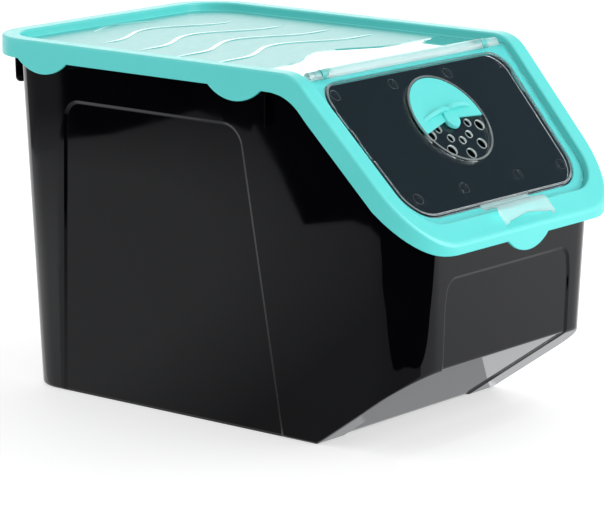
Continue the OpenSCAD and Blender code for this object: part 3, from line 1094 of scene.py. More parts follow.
    def dress_floor(self, draft: MeshDraft, first: int) -> None:
        """Gives the panel its frosted finish and the apron its polished one.

        Args:
            draft: The frame's draft.
            first: Number of the floor's first face.
        """
        for i in range(first, len(draft.faces)):
            middle = np.mean([draft.points[n] for n in draft.faces[i]], axis=0)
            back = middle[1] - self.top.bend_y
            if back > self.apron_line(middle[0]) - 0.3:
                draft.finishes[i] = FrameSlot.PANEL
            elif back > self.polish_front:
                draft.finishes[i] = FrameSlot.APRON

    def add_shell(self, draft: MeshDraft) -> None:
        """Adds the rim, skirt and recess wall, above and below, as rings joined one to the next.

        Args:
            draft: The frame's draft.
        """
        outer, recess = self.outer_edge(), self.recess_edge()
        radius, lip, wall, land = self.edge_radius, self.lip_radius, self.thickness, 0.4
        bends = [(1 - math.sin(a), 1 - math.cos(a)) for a in np.linspace(0, math.pi / 2, 8)]
        rings = [self.recess_ring(recess, -self.floor_fillet * s, self.recess - self.floor_fillet * c)
                 for s, c in bends[::2]]
        rings += [self.recess_ring(recess, lip * c, lip * s) for s, c in bends]
        inner_rim = self.recess_ring(recess, lip + land, 0)
        outer_rim = self.outer_ring(outer, radius + land, 0)
        rings += [self.scooped(inner_rim + (outer_rim - inner_rim) * share)
                  for share in np.linspace(0, 1, 8)]
        rings += [self.scooped(self.outer_ring(outer, radius * s, radius * c)) for s, c in bends]
        foot = self.skirt_foot(outer)
        rings += [np.column_stack([outer.grown(-inset), foot + rise])
                  for inset, rise in ((0, 0.7), (0.1, 0.2), (0.5, 0), (wall - 0.3, 0), (wall, 0.4))]
        rings += [self.outer_ring(outer, wall, wall + 1), self.outer_ring(outer, wall + 2.5, wall),
                  self.recess_ring(recess, wall, wall), self.recess_ring(recess, wall, self.recess + wall)]
        numbers = draft.loft(rings)
        self.add_floor(draft, recess, numbers[0], numbers[-1])

    def add_rib(self, draft: MeshDraft, place: float, half: float) -> None:
        """Adds one waved rib, a long low dome that narrows to its ends.

        Args:
            draft: The ribs' draft.
            place: How far behind the bend it lies.
            half: Its half width.
        """
        xs = half * np.sin(np.linspace(-math.pi / 2, math.pi / 2, 73))
        share = np.sqrt(np.clip(1 - np.abs(xs / half) ** 7, 0.002, 1))
        centre = self.top.bend_y + place + self.wave(xs)
        floor = self.top.height - self.recess
        rings = []
        for turn in np.linspace(0, math.pi, 11):
            across = self.rib_width / 2 * math.cos(turn) * share
            rise = self.rib_height * math.sin(turn) ** 0.45 - self.rib_sink
            rings.append(columns(xs, centre - across, floor + rise * share))
        draft.loft(rings, closed=False)

    @property
    def hinge_middle(self) -> Array:
        """Middle of the hinge's axis."""
        return self.top.on_slope(np.array([[0.0, self.hinge[0]]]), self.hinge[1])[0]

    def hinge_ring(self, x: float, radius: float, count: int) -> Array:
        """A ring of points round the hinge's axis.

        Args:
            x: Place along the axis.
            radius: Its radius.
            count: How many points it has.

        Returns:
            The points.
        """
        turns = 2 * math.pi * np.arange(count) / count
        spokes = np.outer(np.cos(turns), self.top.down) + np.outer(np.sin(turns), self.top.out)
        return self.hinge_middle + radius * spokes + [x, 0, 0]

    def add_lug(self, draft: MeshDraft, side: int) -> None:
        """Adds one hinge lug, rounded over the pin, with its foot in the floor and a peg each way.

        Args:
            draft: The lugs' draft.
            side: -1 on the left and 1 on the right.
        """
        middle = self.hinge_middle
        lean = math.radians(self.top.slope_angle / 2)
        up = np.array([0, -math.sin(lean), math.cos(lean)])
        along = np.array([0, -math.cos(lean), -math.sin(lean)])
        near, far = self.lug_span
        half_foot, depth = self.lug_foot
        crown = arc((0, 0), self.lug_radius, np.linspace(0, 180, 15)).points
        shape = np.vstack([crown, [(-half_foot, -depth), (half_foot, -depth)]])
        rings = []
        for out, x in softened(near, far, 0.4, 0.12):
            section = shape * (1 + out / 3.2)
            rings.append(middle + np.outer(section[:, 1], up) + np.outer(section[:, 0], along)
                         + [side * x, 0, 0])
        draft.capped(rings)
        steps = [(near - out, radius) for out, radius in self.peg_steps]
        steps += [(far + out, radius) for out, radius in self.peg_steps[::-1]]
        draft.capped([self.hinge_ring(side * x, radius, 20) for x, radius in steps])

    def build(self) -> None:
        """Makes the frame's pieces and dresses them."""
        satin, frosted, polished = (TealPlastic(surface).make() for surface in Teal)
        shell = MeshDraft()
        self.add_shell(shell)
        frame_piece = shell.build("lid_frame_shell", [satin, frosted, polished])
        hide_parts("lid_frame")
        ribs = MeshDraft()
        for place, half in self.ribs:
            self.add_rib(ribs, place * self.flat_length, half * self.recess_half)
        lugs = MeshDraft()
        for side in (-1, 1):
            self.add_lug(lugs, side)
        pieces = [
            frame_piece,
            ribs.build("waved_ribs", [polished], sharp=60),
            lugs.build("hinge_lugs", [frosted]),
        ]
        for piece in pieces:
            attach(piece, "lid_frame")
            log.info("lid frame piece %s: %d faces", piece.name, len(piece.data.polygons))


# ------------------------ tub


class TubSlot(IntEnum):
    """Material slots of the tub's shell."""

    OUTSIDE = 0
    INSIDE = 1


@dataclass
class Tub:
    """The black tub: drafted walls, a sloping cut under the front wall, and sunk panels.

    A side panel's front and rear edges lie behind the bend and in front of the lid's rear, each
    at its head and at the base.
    """

    top: BentTop
    overhang: float = 12.6
    draft_angle: float = 2.0
    corner_radius: float = 26.8
    wall: float = 2.4
    floor: float = 2.6
    cut_height: float = 55.0
    cut_run: float = 78.0
    edge_radius: float = 2.2
    top_depth: float = 8.3
    flange: float = 2.2
    flange_inset: float = 2.8
    flange_soft: float = 0.4
    upstand: float = 4.3
    upstand_width: float = 2.0
    panel_depth: float = 1.2
    panel_bevel: float = 2.8
    side_panel_drop: float = 38.3
    side_panel_front: Pair = (54.6, 22.4)
    side_panel_rear: Pair = (64.9, 54.6)
    side_panel_radii: Pair = (17.0, 14.0)
    front_panel_half: float = 68.5
    front_panel_drop: float = 24.5
    front_panel_radius: float = 11.0
    grip_width: float = 172.0
    grip_drop: float = 27.0
    grip_thickness: float = 2.2
    side_rib_place: float = 30.0
    side_rib_half: float = 0.8
    side_rib_drop: float = 28.0
    side_rib_reach: float = 3.8

    @property
    def lean(self) -> float:
        """How far a wall moves in for each millimetre down."""
        return math.tan(math.radians(self.draft_angle))

    @property
    def slope_foot(self) -> float:
        """Height of the front end of the slope."""
        return self.top.height - self.top.slope_length * self.top.sin

    @property
    def front_overhang(self) -> float:
        """How far the lid stands out past the front wall."""
        return self.overhang + 1

    @property
    def base_front(self) -> float:
        """Place along Y where the cut meets the base."""
        rise = self.lean * (self.slope_foot - self.cut_height)
        return self.top.front_y + self.front_overhang + rise + self.cut_run

    @property
    def cut_angle(self) -> float:
        """Angle of the cut above level, in radians."""
        return math.atan2(self.cut_height, self.cut_run)

    @property
    def half(self) -> float:
        """Half width of the walls at rim height."""
        return self.top.half_width - self.overhang

    @property
    def rear(self) -> float:
        """Place along Y of the rear wall at rim height."""
        return self.top.rear_y - self.overhang

    @property
    def front(self) -> float:
        """Place along Y of the front wall, drawn on up to rim height."""
        return self.top.front_y + self.front_overhang - self.lean * (self.top.height - self.slope_foot)

    def plan(self, inset: float = 0.0) -> Edge:
        """Outline of the walls at rim height.

        Args:
            inset: How far it lies inside the outer face.

        Returns:
            The outline.
        """
        half, rear, front = self.half, self.rear, self.front
        corners = [(half, rear), (-half, rear), (-half, front), (half, front)]
        edge = self.with_fold(rounded(corners, [self.corner_radius] * 4, 14, 9))
        return Edge(edge.grown(-inset), edge.outward)

    def with_fold(self, edge: Edge) -> Edge:
        """Adds a point on each side, where the base folds up into the cut.

        Args:
            edge: Outline of the walls.

        Returns:
            The outline with the points.
        """
        points, outward = list(edge.points), list(edge.outward)
        for side in (-1, 1):
            for i in range(len(points)):
                (x0, y0), (x1, y1) = points[i - 1], points[i]
                crosses = (y0 - self.base_front) * (y1 - self.base_front) < 0
                if crosses and x0 * side > 0 and x1 * side > 0:
                    share = (self.base_front - y0) / (y1 - y0)
                    points.insert(i, points[i - 1] + (points[i] - points[i - 1]) * share)
                    outward.insert(i, outward[i - 1])
                    break
        return Edge(np.array(points), np.array(outward))

    def pull(self, points: Array) -> Array:
        """Flat direction in which the draft moves wall points; a corner moves both ways.

        Args:
            points: Flat points at rim height.

        Returns:
            The direction of each.
        """
        middle, reach, blend = (self.rear + self.front) / 2, (self.rear - self.front) / 2, 30.0
        start = self.corner_radius + blend
        x, y = points[:, 0], points[:, 1] - middle
        share_x = np.clip((np.abs(x) - self.half + start) / blend, 0, 1)
        share_y = np.clip((np.abs(y) - reach + start) / blend, 0, 1)
        return columns(np.sign(x) * share_x, np.sign(y) * share_y)

    def ring(self, edge: Edge, heights: Array) -> Array:
        """Points of a drafted wall, each at its own height."""
        shift = self.lean * (self.top.height - heights)
        return np.column_stack([edge.points - self.pull(edge.points) * shift[:, None], heights])

    def cut_line(self, edge: Edge, floor: float, inset: float) -> Array:
        """Height at which the points of a wall meet the base or the cut.

        Args:
            edge: Outline of the wall.
            floor: Height of the base's face.
            inset: How far the cut's face lies inside the tub.

        Returns:
            The height at each point.
        """
        steep = math.tan(self.cut_angle)
        front = self.base_front + inset / math.sin(self.cut_angle)
        y, out = edge.points[:, 1], self.pull(edge.points)[:, 1]
        height = steep * (front - y + self.lean * out * self.top.height) / (1 + steep * self.lean * out)
        return np.maximum(height, floor)

    def inward(self, edge: Edge, on_cut: Array) -> Array:
        """Direction along the base or the cut, away from the wall.

        Args:
            edge: Outline of the wall.
            on_cut: Whether each point meets the cut.

        Returns:
            The direction at each point.
        """
        x, y = edge.outward.T
        sloping = columns(-x, -y * math.cos(self.cut_angle), y * math.sin(self.cut_angle))
        return np.where(on_cut[:, None], sloping, columns(-x, -y, 0.0))

    def flange_top(self, y: Array) -> Array:
        """Height of the flange that carries the lid."""
        return np.maximum(self.top.height_at(y, self.top_depth), self.slope_foot - 2.3)

    def wall_rings(self, edge: Edge, floor: float, inset: float, radius: float) -> list[Array]:
        """Rings of one face of the walls, from the base or the cut up to the flange.

        Args:
            edge: Outline of the face.
            floor: Height of the base's face.
            inset: How far the cut's face lies inside the tub.
            radius: Radius at the foot of the walls.

        Returns:
            The rings.
        """
        foot = self.cut_line(edge, floor, inset)
        corner, above = self.ring(edge, foot), self.ring(edge, foot + radius)
        beside = corner + self.inward(edge, foot > floor + 0.01) * radius
        y = self.ring(edge, np.full(len(foot), self.top.height - 20))[:, 1]
        head = self.flange_top(y) - self.flange
        walls = [self.ring(edge, foot + radius + (head - foot - radius) * share)
                 for share in np.linspace(0, 1, 9)[1:]]
        return fillet(beside, corner, above, 5) + walls

    def close_foot(self, draft: MeshDraft, ring: Array, slot: TubSlot) -> None:
        """Fills the base and the cut, which meet in a straight fold.

        Args:
            draft: The shell's draft.
            ring: Numbers of the lowest ring.
            slot: Which face of the shell it is.
        """
        heights = np.array([draft.points[i][2] for i in ring])
        on_base = heights < heights.min() + 0.01
        start = next(i for i in range(len(ring)) if on_base[i] and not on_base[i - 1])
        order = np.roll(np.arange(len(ring)), -start)
        base = [ring[i] for i in order if on_base[i]]
        cut = [base[-1], *(ring[i] for i in order if not on_base[i]), base[0]]
        for corners in (base, cut):
            draft.face(corners if slot is TubSlot.INSIDE else corners[::-1], slot)

    def lid_plan(self) -> Edge:
        """Outline of the flange, which follows the lid frame and is sampled like the walls.

        Returns:
            The outline; its directions are those of the walls.
        """
        walls = self.plan()
        reach = self.overhang - self.flange_inset
        target = LidFrame(self.top).outer_edge().grown(-self.flange_inset)
        moved = [first_hit(point, out, target, reach * 1.4, point + out * reach)
                 for point, out in zip(walls.points, walls.outward)]
        return Edge(np.array(moved), walls.outward)

    def shell(self) -> MeshDraft:
        """Walls, base, cut and flange as one closed skin.

        Returns:
            The draft.
        """
        draft = MeshDraft()
        outer, inner, edge = self.plan(), self.plan(self.wall), self.lid_plan()
        numbers = draft.loft(self.wall_rings(outer, 0.0, 0.0, self.edge_radius))
        self.close_foot(draft, numbers[0], TubSlot.OUTSIDE)
        soft, width = self.flange_soft, self.upstand_width
        rise = np.where(edge.points[:, 1] > self.top.bend_y - 30, self.upstand, soft)
        outer_top, inner_top = (self.flange_top(edge.grown(-inset)[:, 1]) for inset in (0, width))
        steps = [
            (soft, outer_top - self.flange), (0, outer_top - self.flange + soft),
            (0, outer_top + rise - soft), (soft, outer_top + rise), (width - soft, inner_top + rise),
            (width, inner_top + rise - soft), (width + 0.3, inner_top),
        ]
        flange = [np.column_stack([edge.grown(-inset), height]) for inset, height in steps]
        mouth = self.ring(inner, np.full(len(inner.points), self.top.height - 12))[:, :2]
        mouth_top = self.flange_top(mouth[:, 1])
        flange += [np.column_stack([mouth + inner.outward * soft, mouth_top]),
                   np.column_stack([mouth, mouth_top - 0.5])]
        lip = draft.loft(flange)
        draft.bridge(numbers[-1], lip[0])
        inside_rings = self.wall_rings(inner, self.floor, self.wall, 3.0)
        inside_numbers = draft.loft(inside_rings[::-1], finish=TubSlot.INSIDE)
        draft.bridge(lip[-1], inside_numbers[0])
        self.close_foot(draft, inside_numbers[-1], TubSlot.INSIDE)
        return draft

    def panel_steps(self) -> list[Pair]:
        """Distance inwards and height of each line of a panel's cutter, from outside the wall."""
        bend = [(self.panel_bevel * share, smoothstep(share)) for share in np.linspace(0, 1, 9)]
        return [(-0.4, 6.0), *((inset, 0.05 - (self.panel_depth + 0.05) * fall) for inset, fall in bend)]

    def side_cutter(self, side: int) -> MeshDraft:
        """What the sunk panel takes away from a side wall; it runs on below the base.

        Args:
            side: -1 on the left and 1 on the right.

        Returns:
            The cutter's draft.
        """
        head, below = self.top.height - self.side_panel_drop, -10
        front_head, front_foot = (self.top.bend_y + place for place in self.side_panel_front)
        rear_head, rear_foot = (self.top.rear_y - place for place in self.side_panel_rear)
        corners = [(front_head, head), (front_foot, below), (rear_foot, below), (rear_head, head)]
        front_radius, rear_radius = self.side_panel_radii
        edge = rounded(corners, [front_radius, 4, 4, rear_radius], steps=14, spacing=400)
        rows = []
        for inset, rise in self.panel_steps():
            y, z = edge.grown(-inset).T
            rows.append(columns(side * (self.half - self.lean * (self.top.height - z) + rise), y, z))
        draft = MeshDraft()
        draft.capped([row[::side] for row in rows])
        return draft

    def front_path(self, along: Array, rise: float) -> tuple[Array, Array]:
        """Y and Z at distances below the top of the front panel, down the wall and the cut.

        Args:
            along: Distance down the wall, then down the cut.
            rise: Height above the wall or the cut.

        Returns:
            The places along Y and Z.
        """
        slope, draft, radius = self.cut_angle, math.radians(self.draft_angle), self.edge_radius
        corner_y = self.top.front_y + self.front_overhang + self.lean * (self.slope_foot - self.cut_height)
        corner = np.array([corner_y, self.cut_height])
        down_wall = np.array([math.sin(draft), -math.cos(draft)])
        down_cut = np.array([math.cos(slope), -math.sin(slope)])
        out_wall = np.array([-math.cos(draft), -math.sin(draft)])
        out_cut = np.array([-math.sin(slope), -math.cos(slope)])
        past = (along - self.front_panel_wall)[:, None]
        share = np.clip((past + radius) / (2 * radius), 0, 1)
        curve = corner + radius * ((share**2) * down_cut - (1 - share) ** 2 * down_wall)
        line = curve + np.minimum(past + radius, 0) * down_wall + np.maximum(past - radius, 0) * down_cut
        out = (1 - share) * out_wall + share * out_cut
        places = line + rise * out / np.linalg.norm(out, axis=1, keepdims=True)
        return places[:, 0], places[:, 1]

    @property
    def front_panel_wall(self) -> float:
        """Length of the front panel on the front wall, from its top to the cut."""
        drop = self.slope_foot - self.front_panel_drop - self.cut_height
        return drop / math.cos(math.radians(self.draft_angle))

    def front_cutter(self) -> MeshDraft:
        """What the sunk panel takes away from the front wall and, past its foot, from the cut.

        Returns:
            The cutter's draft.
        """
        wall_end = self.front_panel_wall
        length = wall_end + math.hypot(self.cut_height, self.cut_run) + 12
        half, radius = self.front_panel_half, self.front_panel_radius
        shoulder = half - 1 - radius
        fold = np.linspace(self.edge_radius - wall_end, -wall_end - self.edge_radius, 7)
        downs = np.concatenate([
            np.linspace(-radius, fold[0], 8)[1:-1], fold, np.linspace(fold[-1], -length, 10)[1:]])
        path = joined(
            straight(np.linspace(0, shoulder, 8)[:-1], 0, (0, 1)),
            arc((shoulder, -radius), radius, np.linspace(90, 0, 15)),
            straight(half, downs, (1, 0)))
        full = Edge(
            np.vstack([(path.points * [-1, 1])[:0:-1], path.points]),
            np.vstack([(path.outward * [-1, 1])[:0:-1], path.outward]))
        rows = []
        for inset, rise in self.panel_steps():
            x, down = full.grown(-inset).T
            rows.append(columns(x, *self.front_path(-down, rise)))
        draft = MeshDraft()
        numbers = draft.loft(rows)
        for ring, order in ((numbers[0], -1), (numbers[-1], 1)):
            last = len(downs)
            draft.face(ring[last - 1:len(ring) - last + 1][::order])
            for k in range(last - 1):
                draft.face([ring[k], ring[k + 1], ring[-2 - k], ring[-1 - k]][::order])
        return draft

    def sink_panels(self, shell: bpy.types.Object) -> None:
        """Cuts the panels into the side walls, the front wall and the cut.

        Args:
            shell: The tub's shell, whose mesh is replaced.
        """
        cutters = [self.side_cutter(-1), self.side_cutter(1), self.front_cutter()]
        tools = [cutter.build(f"cutter_{i}", []) for i, cutter in enumerate(cutters)]
        for tool in tools:
            cut = shell.modifiers.new(tool.name, "BOOLEAN")
            cut.operation, cut.solver, cut.object = "DIFFERENCE", "EXACT", tool
        shell.modifiers.move(0, len(tools))
        shell.modifiers["even_normals"].show_viewport = False
        whole = shell.evaluated_get(bpy.context.evaluated_depsgraph_get())
        mesh = bpy.data.meshes.new_from_object(whole)
        shell.modifiers["even_normals"].show_viewport = True
        for tool in tools:
            shell.modifiers.remove(shell.modifiers[tool.name])
            bpy.data.objects.remove(tool)
        shell.data = mesh
        mesh.shade_smooth()
        mesh.set_sharp_from_angle(angle=math.radians(28))

    def rear_grip(self, draft: MeshDraft) -> None:
        """Adds the lip behind the rear wall, for the fingers.

        Args:
            draft: The grip's draft.
        """
        head, half = self.top.height - self.top_depth - 1, self.grip_width / 2
        foot = head - self.grip_drop
        edge = rounded([(half, head), (-half, head), (1 - half, foot), (half - 1, foot)],
                       [0.5, 0.5, 4, 4], 8, 12)
        rear = self.top.rear_y - self.flange_inset - 0.3
        steps = softened(0, self.grip_thickness, 0.6, 0.15)
        draft.slab(edge, steps, lambda flat, back: columns(flat[:, 0], rear - back, flat[:, 1]))

    def side_rib(self, draft: MeshDraft, side: int) -> None:
        """Adds the short upright rib on a side wall, under the bend of the lid.

        Args:
            draft: The ribs' draft.
            side: -1 on the left and 1 on the right.
        """
        place, half, reach = self.top.bend_y + self.side_rib_place, self.side_rib_half, self.side_rib_reach
        head = self.top.height - self.top_depth - 1
        foot = head - self.side_rib_drop
        corners = [(place + half, head), (place - half, head), (place - half, foot), (place + half, foot)]
        edge = rounded(corners, [0.2, 0.2, 0.7, 0.7], 6, 8)
        wall = self.half - self.lean * 10
        steps = [(0, -1.2), (0, reach - 0.4), (-0.12, reach - 0.1), (-0.4, reach)]
        draft.slab(edge, steps, lambda flat, out: columns(side * (wall + out), *flat.T))

    def build(self) -> None:
        """Makes the tub's pieces and dresses them."""
        black = GlossBlack().make()
        inner = GlossBlack(
            "matt_black", dark=from_screen(8, 12, 17), light=from_screen(12, 18, 24), sheen=(0.45, 0.6),
            ripple=0.00001, shine=0.4, tint=(0.55, 0.85, 1.0)).make()
        shell = self.shell().build("tub_shell", [black, inner], sharp=28)
        self.sink_panels(shell)
        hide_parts("tub")
        grip, ribs = MeshDraft(), MeshDraft()
        self.rear_grip(grip)
        for side in (-1, 1):
            self.side_rib(ribs, side)
        for piece in (shell, grip.build("rear_grip", [black]), ribs.build("side_ribs", [black])):
            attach(piece, "tub")
            log.info("tub piece %s: %d faces", piece.name, len(piece.data.polygons))


def first_hit(start: Array, direction: Array, outline: Array, reach: float,
              fallback: Array) -> Array:
    """Where a ray first crosses a closed outline.

    Args:
        start: Where the ray starts.
        direction: Its direction, of length one.
        outline: The outline.
        reach: How far the ray may go.
        fallback: What is given if nothing is crossed.

    Returns:
        The crossing.
    """
    best, found = reach, fallback
    for a, b in zip(outline, np.roll(outline, -1, axis=0)):
        side = b - a
        cross = direction[0] * side[1] - direction[1] * side[0]
        if abs(cross) < 1e-9:
            continue
        offset = a - start
        along = (offset[0] * side[1] - offset[1] * side[0]) / cross
        share = (offset[0] * direction[1] - offset[1] * direction[0]) / cross
        if 0 < along < best and -1e-6 <= share <= 1 + 1e-6:
            best, found = along, start + direction * along
    return found


# ------------------------ flip lid


class SheetSlot(IntEnum):
    """Material slots of the clear sheet."""

    CLEAR = 0
    FROSTED = 1
    MILKY = 2


@dataclass
class FlipLid:
    """The clear flip lid: sheet, lip, hinge barrel, finger latch and vent ring.

    Heights are above the rim plane.  A circle of holes is its radius and that of its holes.  The
    latch's wave is how far its middle and its corners stand out or back from its edge.
    """

    top: BentTop
    frame: LidFrame
    thickness: float = 1.6
    foot: float = -5.7
    side_gap: float = 1.0
    head_v: float = 3.0
    notch_v: float = 4.6
    lip_gap: float = 1.2
    lip_width: float = 1.6
    lip_drop: float = 3.1
    lip_soft: float = 0.3
    barrel_radius: float = 3.3
    barrel_half: float = 81.4
    ear_radius: float = 2.6
    ear_span: Pair = (87.6, 99.7)
    strip_start: float = 1.5
    strip_step: float = 1.3
    vent_v: float = 51.3
    vent_radius: float = 34.0
    ring_width: float = 1.4
    ring_rise: float = 2.2
    ring_soft: Pair = (0.4, 0.12)
    circles: tuple = ((16.5, 2.7), (27.0, 3.7))
    pivot: float = 2.6
    bore_flare: float = 0.2
    latch_width: float = 52.0
    latch_riser: float = 4.6
    latch_bend: float = 124.7
    latch_length: float = 10.8
    latch_rise: float = 4.9
    latch_wave: Pair = (1.7, 2.4)
    latch_bead: float = 1.5
    marks: tuple = ((29, 18), (88, 18), (29, 101), (77, 101))
    mark_radius: float = 3.9
    mark_ridge: Pair = (0.2, 0.14)

    @property
    def head(self) -> float:
        """Height of the top face of the sheet."""
        return self.foot + self.thickness

    def outline(self) -> Edge:
        """Outline of the sheet, in x and minus the distance down the slope.

        Returns:
            The outline, with a notch in its rear edge for each hinge lug.
        """
        rear, front, notch = -self.head_v, self.side_gap - self.frame.recess_front, -self.notch_v
        wide, narrow = (self.frame.half_at(v) - self.side_gap for v in (0, self.frame.recess_front))
        radius = self.frame.recess_radius - self.side_gap
        ear = self.ear_span[0]
        barrel = self.barrel_half
        right = [(wide, rear), (ear, rear), (ear, notch), (barrel, notch), (barrel, rear)]
        left = [(-x, y) for x, y in right[::-1]]
        radii = [2, 0.5, 1, 1, 0.5]
        return rounded([*right, *left, (-narrow, front), (narrow, front)],
                       [*radii, *radii[::-1], radius, radius], 8, 8)

    def holes(self) -> list[Edge]:
        """The vent's holes.

        Returns:
            The pivot hole and the ten vent holes, five on each circle.
        """
        found = [ring_of((0, -self.vent_v), self.pivot, 24)]
        for circle, radius in self.circles:
            centres = arc((0, -self.vent_v), circle, np.arange(-162, 0, 36)).points
            found += [ring_of(centre, radius, 28) for centre in centres]
        return found

    def place(self, flat: Array, rise: float | Array) -> Array:
        """Places in space of flat points, whose second number is minus the way down the slope."""
        return self.top.on_slope(flat * [1, -1], rise)

    def band(self, draft: MeshDraft, edge: Edge, steps: list[Pair],
             finish: int = SheetSlot.CLEAR) -> list[Array]:
        """Rings that follow an outline, each at its own distance outwards and height."""
        return draft.loft([self.place(edge.grown(out), rise) for out, rise in steps], finish=finish)

    def sheet(self) -> MeshDraft:
        """The sheet with its lip, vent ring and holes, as one closed skin.

        Returns:
            The draft.
        """
        draft = MeshDraft()
        head, foot, soft = self.head, self.foot, 0.35
        outline, lip, holes = self.outline(), self.frame.window(), self.holes()
        rim = self.band(draft, outline, softened(foot, head, soft, 0.1))
        lip_out, lip_in = -self.lip_gap, -self.lip_gap - self.lip_width
        tip, lip_soft = foot - self.lip_drop, self.lip_soft
        inside_face = self.band(draft, lip, [(lip_in, foot), (lip_in, tip + lip_soft)])
        self.band(draft, lip, [(lip_in, tip + lip_soft), (lip_in + lip_soft, tip),
                               (lip_out - lip_soft, tip), (lip_out, tip + lip_soft)], SheetSlot.FROSTED)
        outside_face = self.band(draft, lip, [(lip_out, tip + lip_soft), (lip_out, foot)])
        vent = ring_of((0, -self.vent_v), self.vent_radius, 96)
        width, crest, (edge, bevel) = self.ring_width, head + self.ring_rise, self.ring_soft
        ring = self.band(draft, vent, [(0, head), (0, crest - edge)])
        self.band(draft, vent, [
            (0, crest - edge), (-bevel, crest - bevel), (-edge, crest), (edge - width, crest),
            (bevel - width, crest - bevel), (-width, crest - edge)], SheetSlot.FROSTED)
        inner = self.band(draft, vent, [(-width, crest - edge), (-width, head)])
        flare = self.bore_flare
        bore_steps = [(flare, foot), (0, foot + flare), (0, head - flare), (flare, head)]
        bores = [self.band(draft, hole, bore_steps, SheetSlot.MILKY) for hole in holes]
        mouths = [hole.grown(flare) for hole in holes]
        above = [(bore[-1], mouth) for bore, mouth in zip(bores, mouths)]
        below = [(bore[0], mouth) for bore, mouth in zip(bores, mouths)]
        self.fill(draft, [(rim[-1], outline.grown(-soft)), (ring[0], vent.points)], False)
        self.fill(draft, [(inner[-1], vent.grown(-width)), *above], False)
        self.fill(draft, [(rim[0], outline.grown(-soft)), (outside_face[-1], lip.grown(lip_out))], True)
        self.fill(draft, [(inside_face[0], lip.grown(lip_in)), *below], True)
        return draft

    def fill(self, draft: MeshDraft, loops: list[tuple[Array, Array]], flip: bool) -> None:
        """Fills one face of the sheet.

        Args:
            draft: The sheet's draft.
            loops: The outer loop, then the holes, each with its numbers and flat places.
            flip: Whether the face looks down.
        """
        flat = np.vstack([places for _, places in loops])
        numbers = np.concatenate([ids for ids, _ in loops])
        starts = np.cumsum([0, *(len(ids) for ids, _ in loops)])
        rows = [np.arange(start, end) for start, end in zip(starts, starts[1:])]
        draft.patch(flat, numbers, rows, SheetSlot.CLEAR, flip)

    def hinge_bar(self) -> MeshDraft:
        """Barrel, ears and the strips that join them to the sheet.

        Returns:
            The draft.
        """
        draft = MeshDraft()
        near, far = self.ear_span
        spans = [(-self.barrel_half, self.barrel_half, self.barrel_radius),
                 (near, far, self.ear_radius), (-far, -near, self.ear_radius)]
        for start, end, radius in spans:
            draft.capped([self.frame.hinge_ring(x, radius + out, 32)
                          for out, x in softened(start, end, 0.5, 0.15)])
            crest = math.sqrt(radius**2 - self.strip_step**2) - self.thickness - 0.05
            leave = math.sqrt(radius**2 - self.thickness**2) + 0.25
            steps = ((self.strip_start, crest), (leave, 0.08), (self.notch_v, 0.02), (self.notch_v, -0.5),
                     (self.strip_start, -0.7))
            xs = np.linspace(start + 0.2, end - 0.2, 9)
            rows = draft.plugged([self.top.on_slope(columns(xs, v), self.head + rise) for v, rise in steps])
            draft.bridge(rows[-1], rows[0], closed=False)
        return draft

    def latch_path(self, share: Array) -> Array:
        """The middle of the latch, from the sheet up over the rim to its waved edge.

        Args:
            share: How far each line lies from the middle, as a share of the half width.

        Returns:
            For each row and line, the distance down the slope and the height.
        """
        middle = self.thickness / 2
        bend, lift = self.latch_bend, self.latch_rise + middle
        riser, crest = self.frame.recess_front - self.latch_riser, bend + 1.6
        swing, corner = self.latch_wave
        middle_wave = swing * np.cos(math.pi * np.clip(share / 0.9, 0, 1))
        wave = corner * smoothstep((share - 0.8) / 0.2) - middle_wave
        tips = bend + self.latch_length - 1.6 + wave * 0.8
        nodes = [(riser - 3.2, self.foot + middle), (riser - 0.6, self.foot + middle + 0.3),
                 (riser + 1.0, self.foot + 3.0), (bend - 2.2, lift - 2.6), (bend - 0.6, lift - 0.5),
                 (crest, lift + 0.05)]
        rows = [np.full((len(share), 2), node) for node in nodes]
        rows += [columns(crest + (tips - crest) * part, lift - 0.35 * part**2)
                 for part in np.arange(1, 8) / 7]
        return np.array(rows)

    def latch(self) -> MeshDraft:
        """The finger latch, which has a bead under each side.

        Returns:
            The draft.
        """
        draft = MeshDraft()
        half = self.latch_width / 2
        xs = half * np.sin(np.linspace(-math.pi / 2, math.pi / 2, 41))
        share = np.abs(xs) / half
        path = self.latch_path(share)
        step = np.gradient(path, axis=0)
        step /= np.linalg.norm(step, axis=2, keepdims=True)
        normal = np.stack([-step[..., 1], step[..., 0]], axis=2)
        thick = np.tile(self.thickness / 2 * np.sqrt(np.clip(1 - share**24, 0.12, 1)), (len(path), 1))
        thick[-1] *= 0.45
        row = np.arange(len(path))[:, None]
        bead = self.latch_bead * smoothstep((share - 0.93) / 0.05) * smoothstep((row - 4) / 3)
        faces = (path + normal * thick[..., None], path - normal * (thick + bead)[..., None])
        high, low = ([self.top.on_slope(columns(xs, row[:, 0]), row[:, 1]) for row in face]
                     for face in faces)
        high = draft.loft(high, closed=False)
        low = draft.loft(low[::-1], closed=False)[::-1]
        draft.bridge(high[-1], low[-1], closed=False)
        draft.bridge(low[0], high[0], closed=False)
        for end, order in ((0, 1), (-1, -1)):
            for a, b, c, d in zip(high, high[1:], low[1:], low):
                draft.face([a[end], b[end], c[end], d[end]][::order])
        return draft

    def ejector_marks(self) -> MeshDraft:
        """Thin rings that the mould's pins leave on the sheet.

        Returns:
            The draft.
        """
        draft = MeshDraft()
        half, rise = self.mark_ridge
        steps = [(half * math.cos(turn), self.head + rise * math.sin(turn))
                 for turn in np.arange(6) * math.pi / 3]
        for x, v in self.marks:
            for side in (-1, 1):
                numbers = self.band(draft, ring_of((side * x, -v), self.mark_radius, 32), steps)
                draft.bridge(numbers[-1], numbers[0])
        return draft

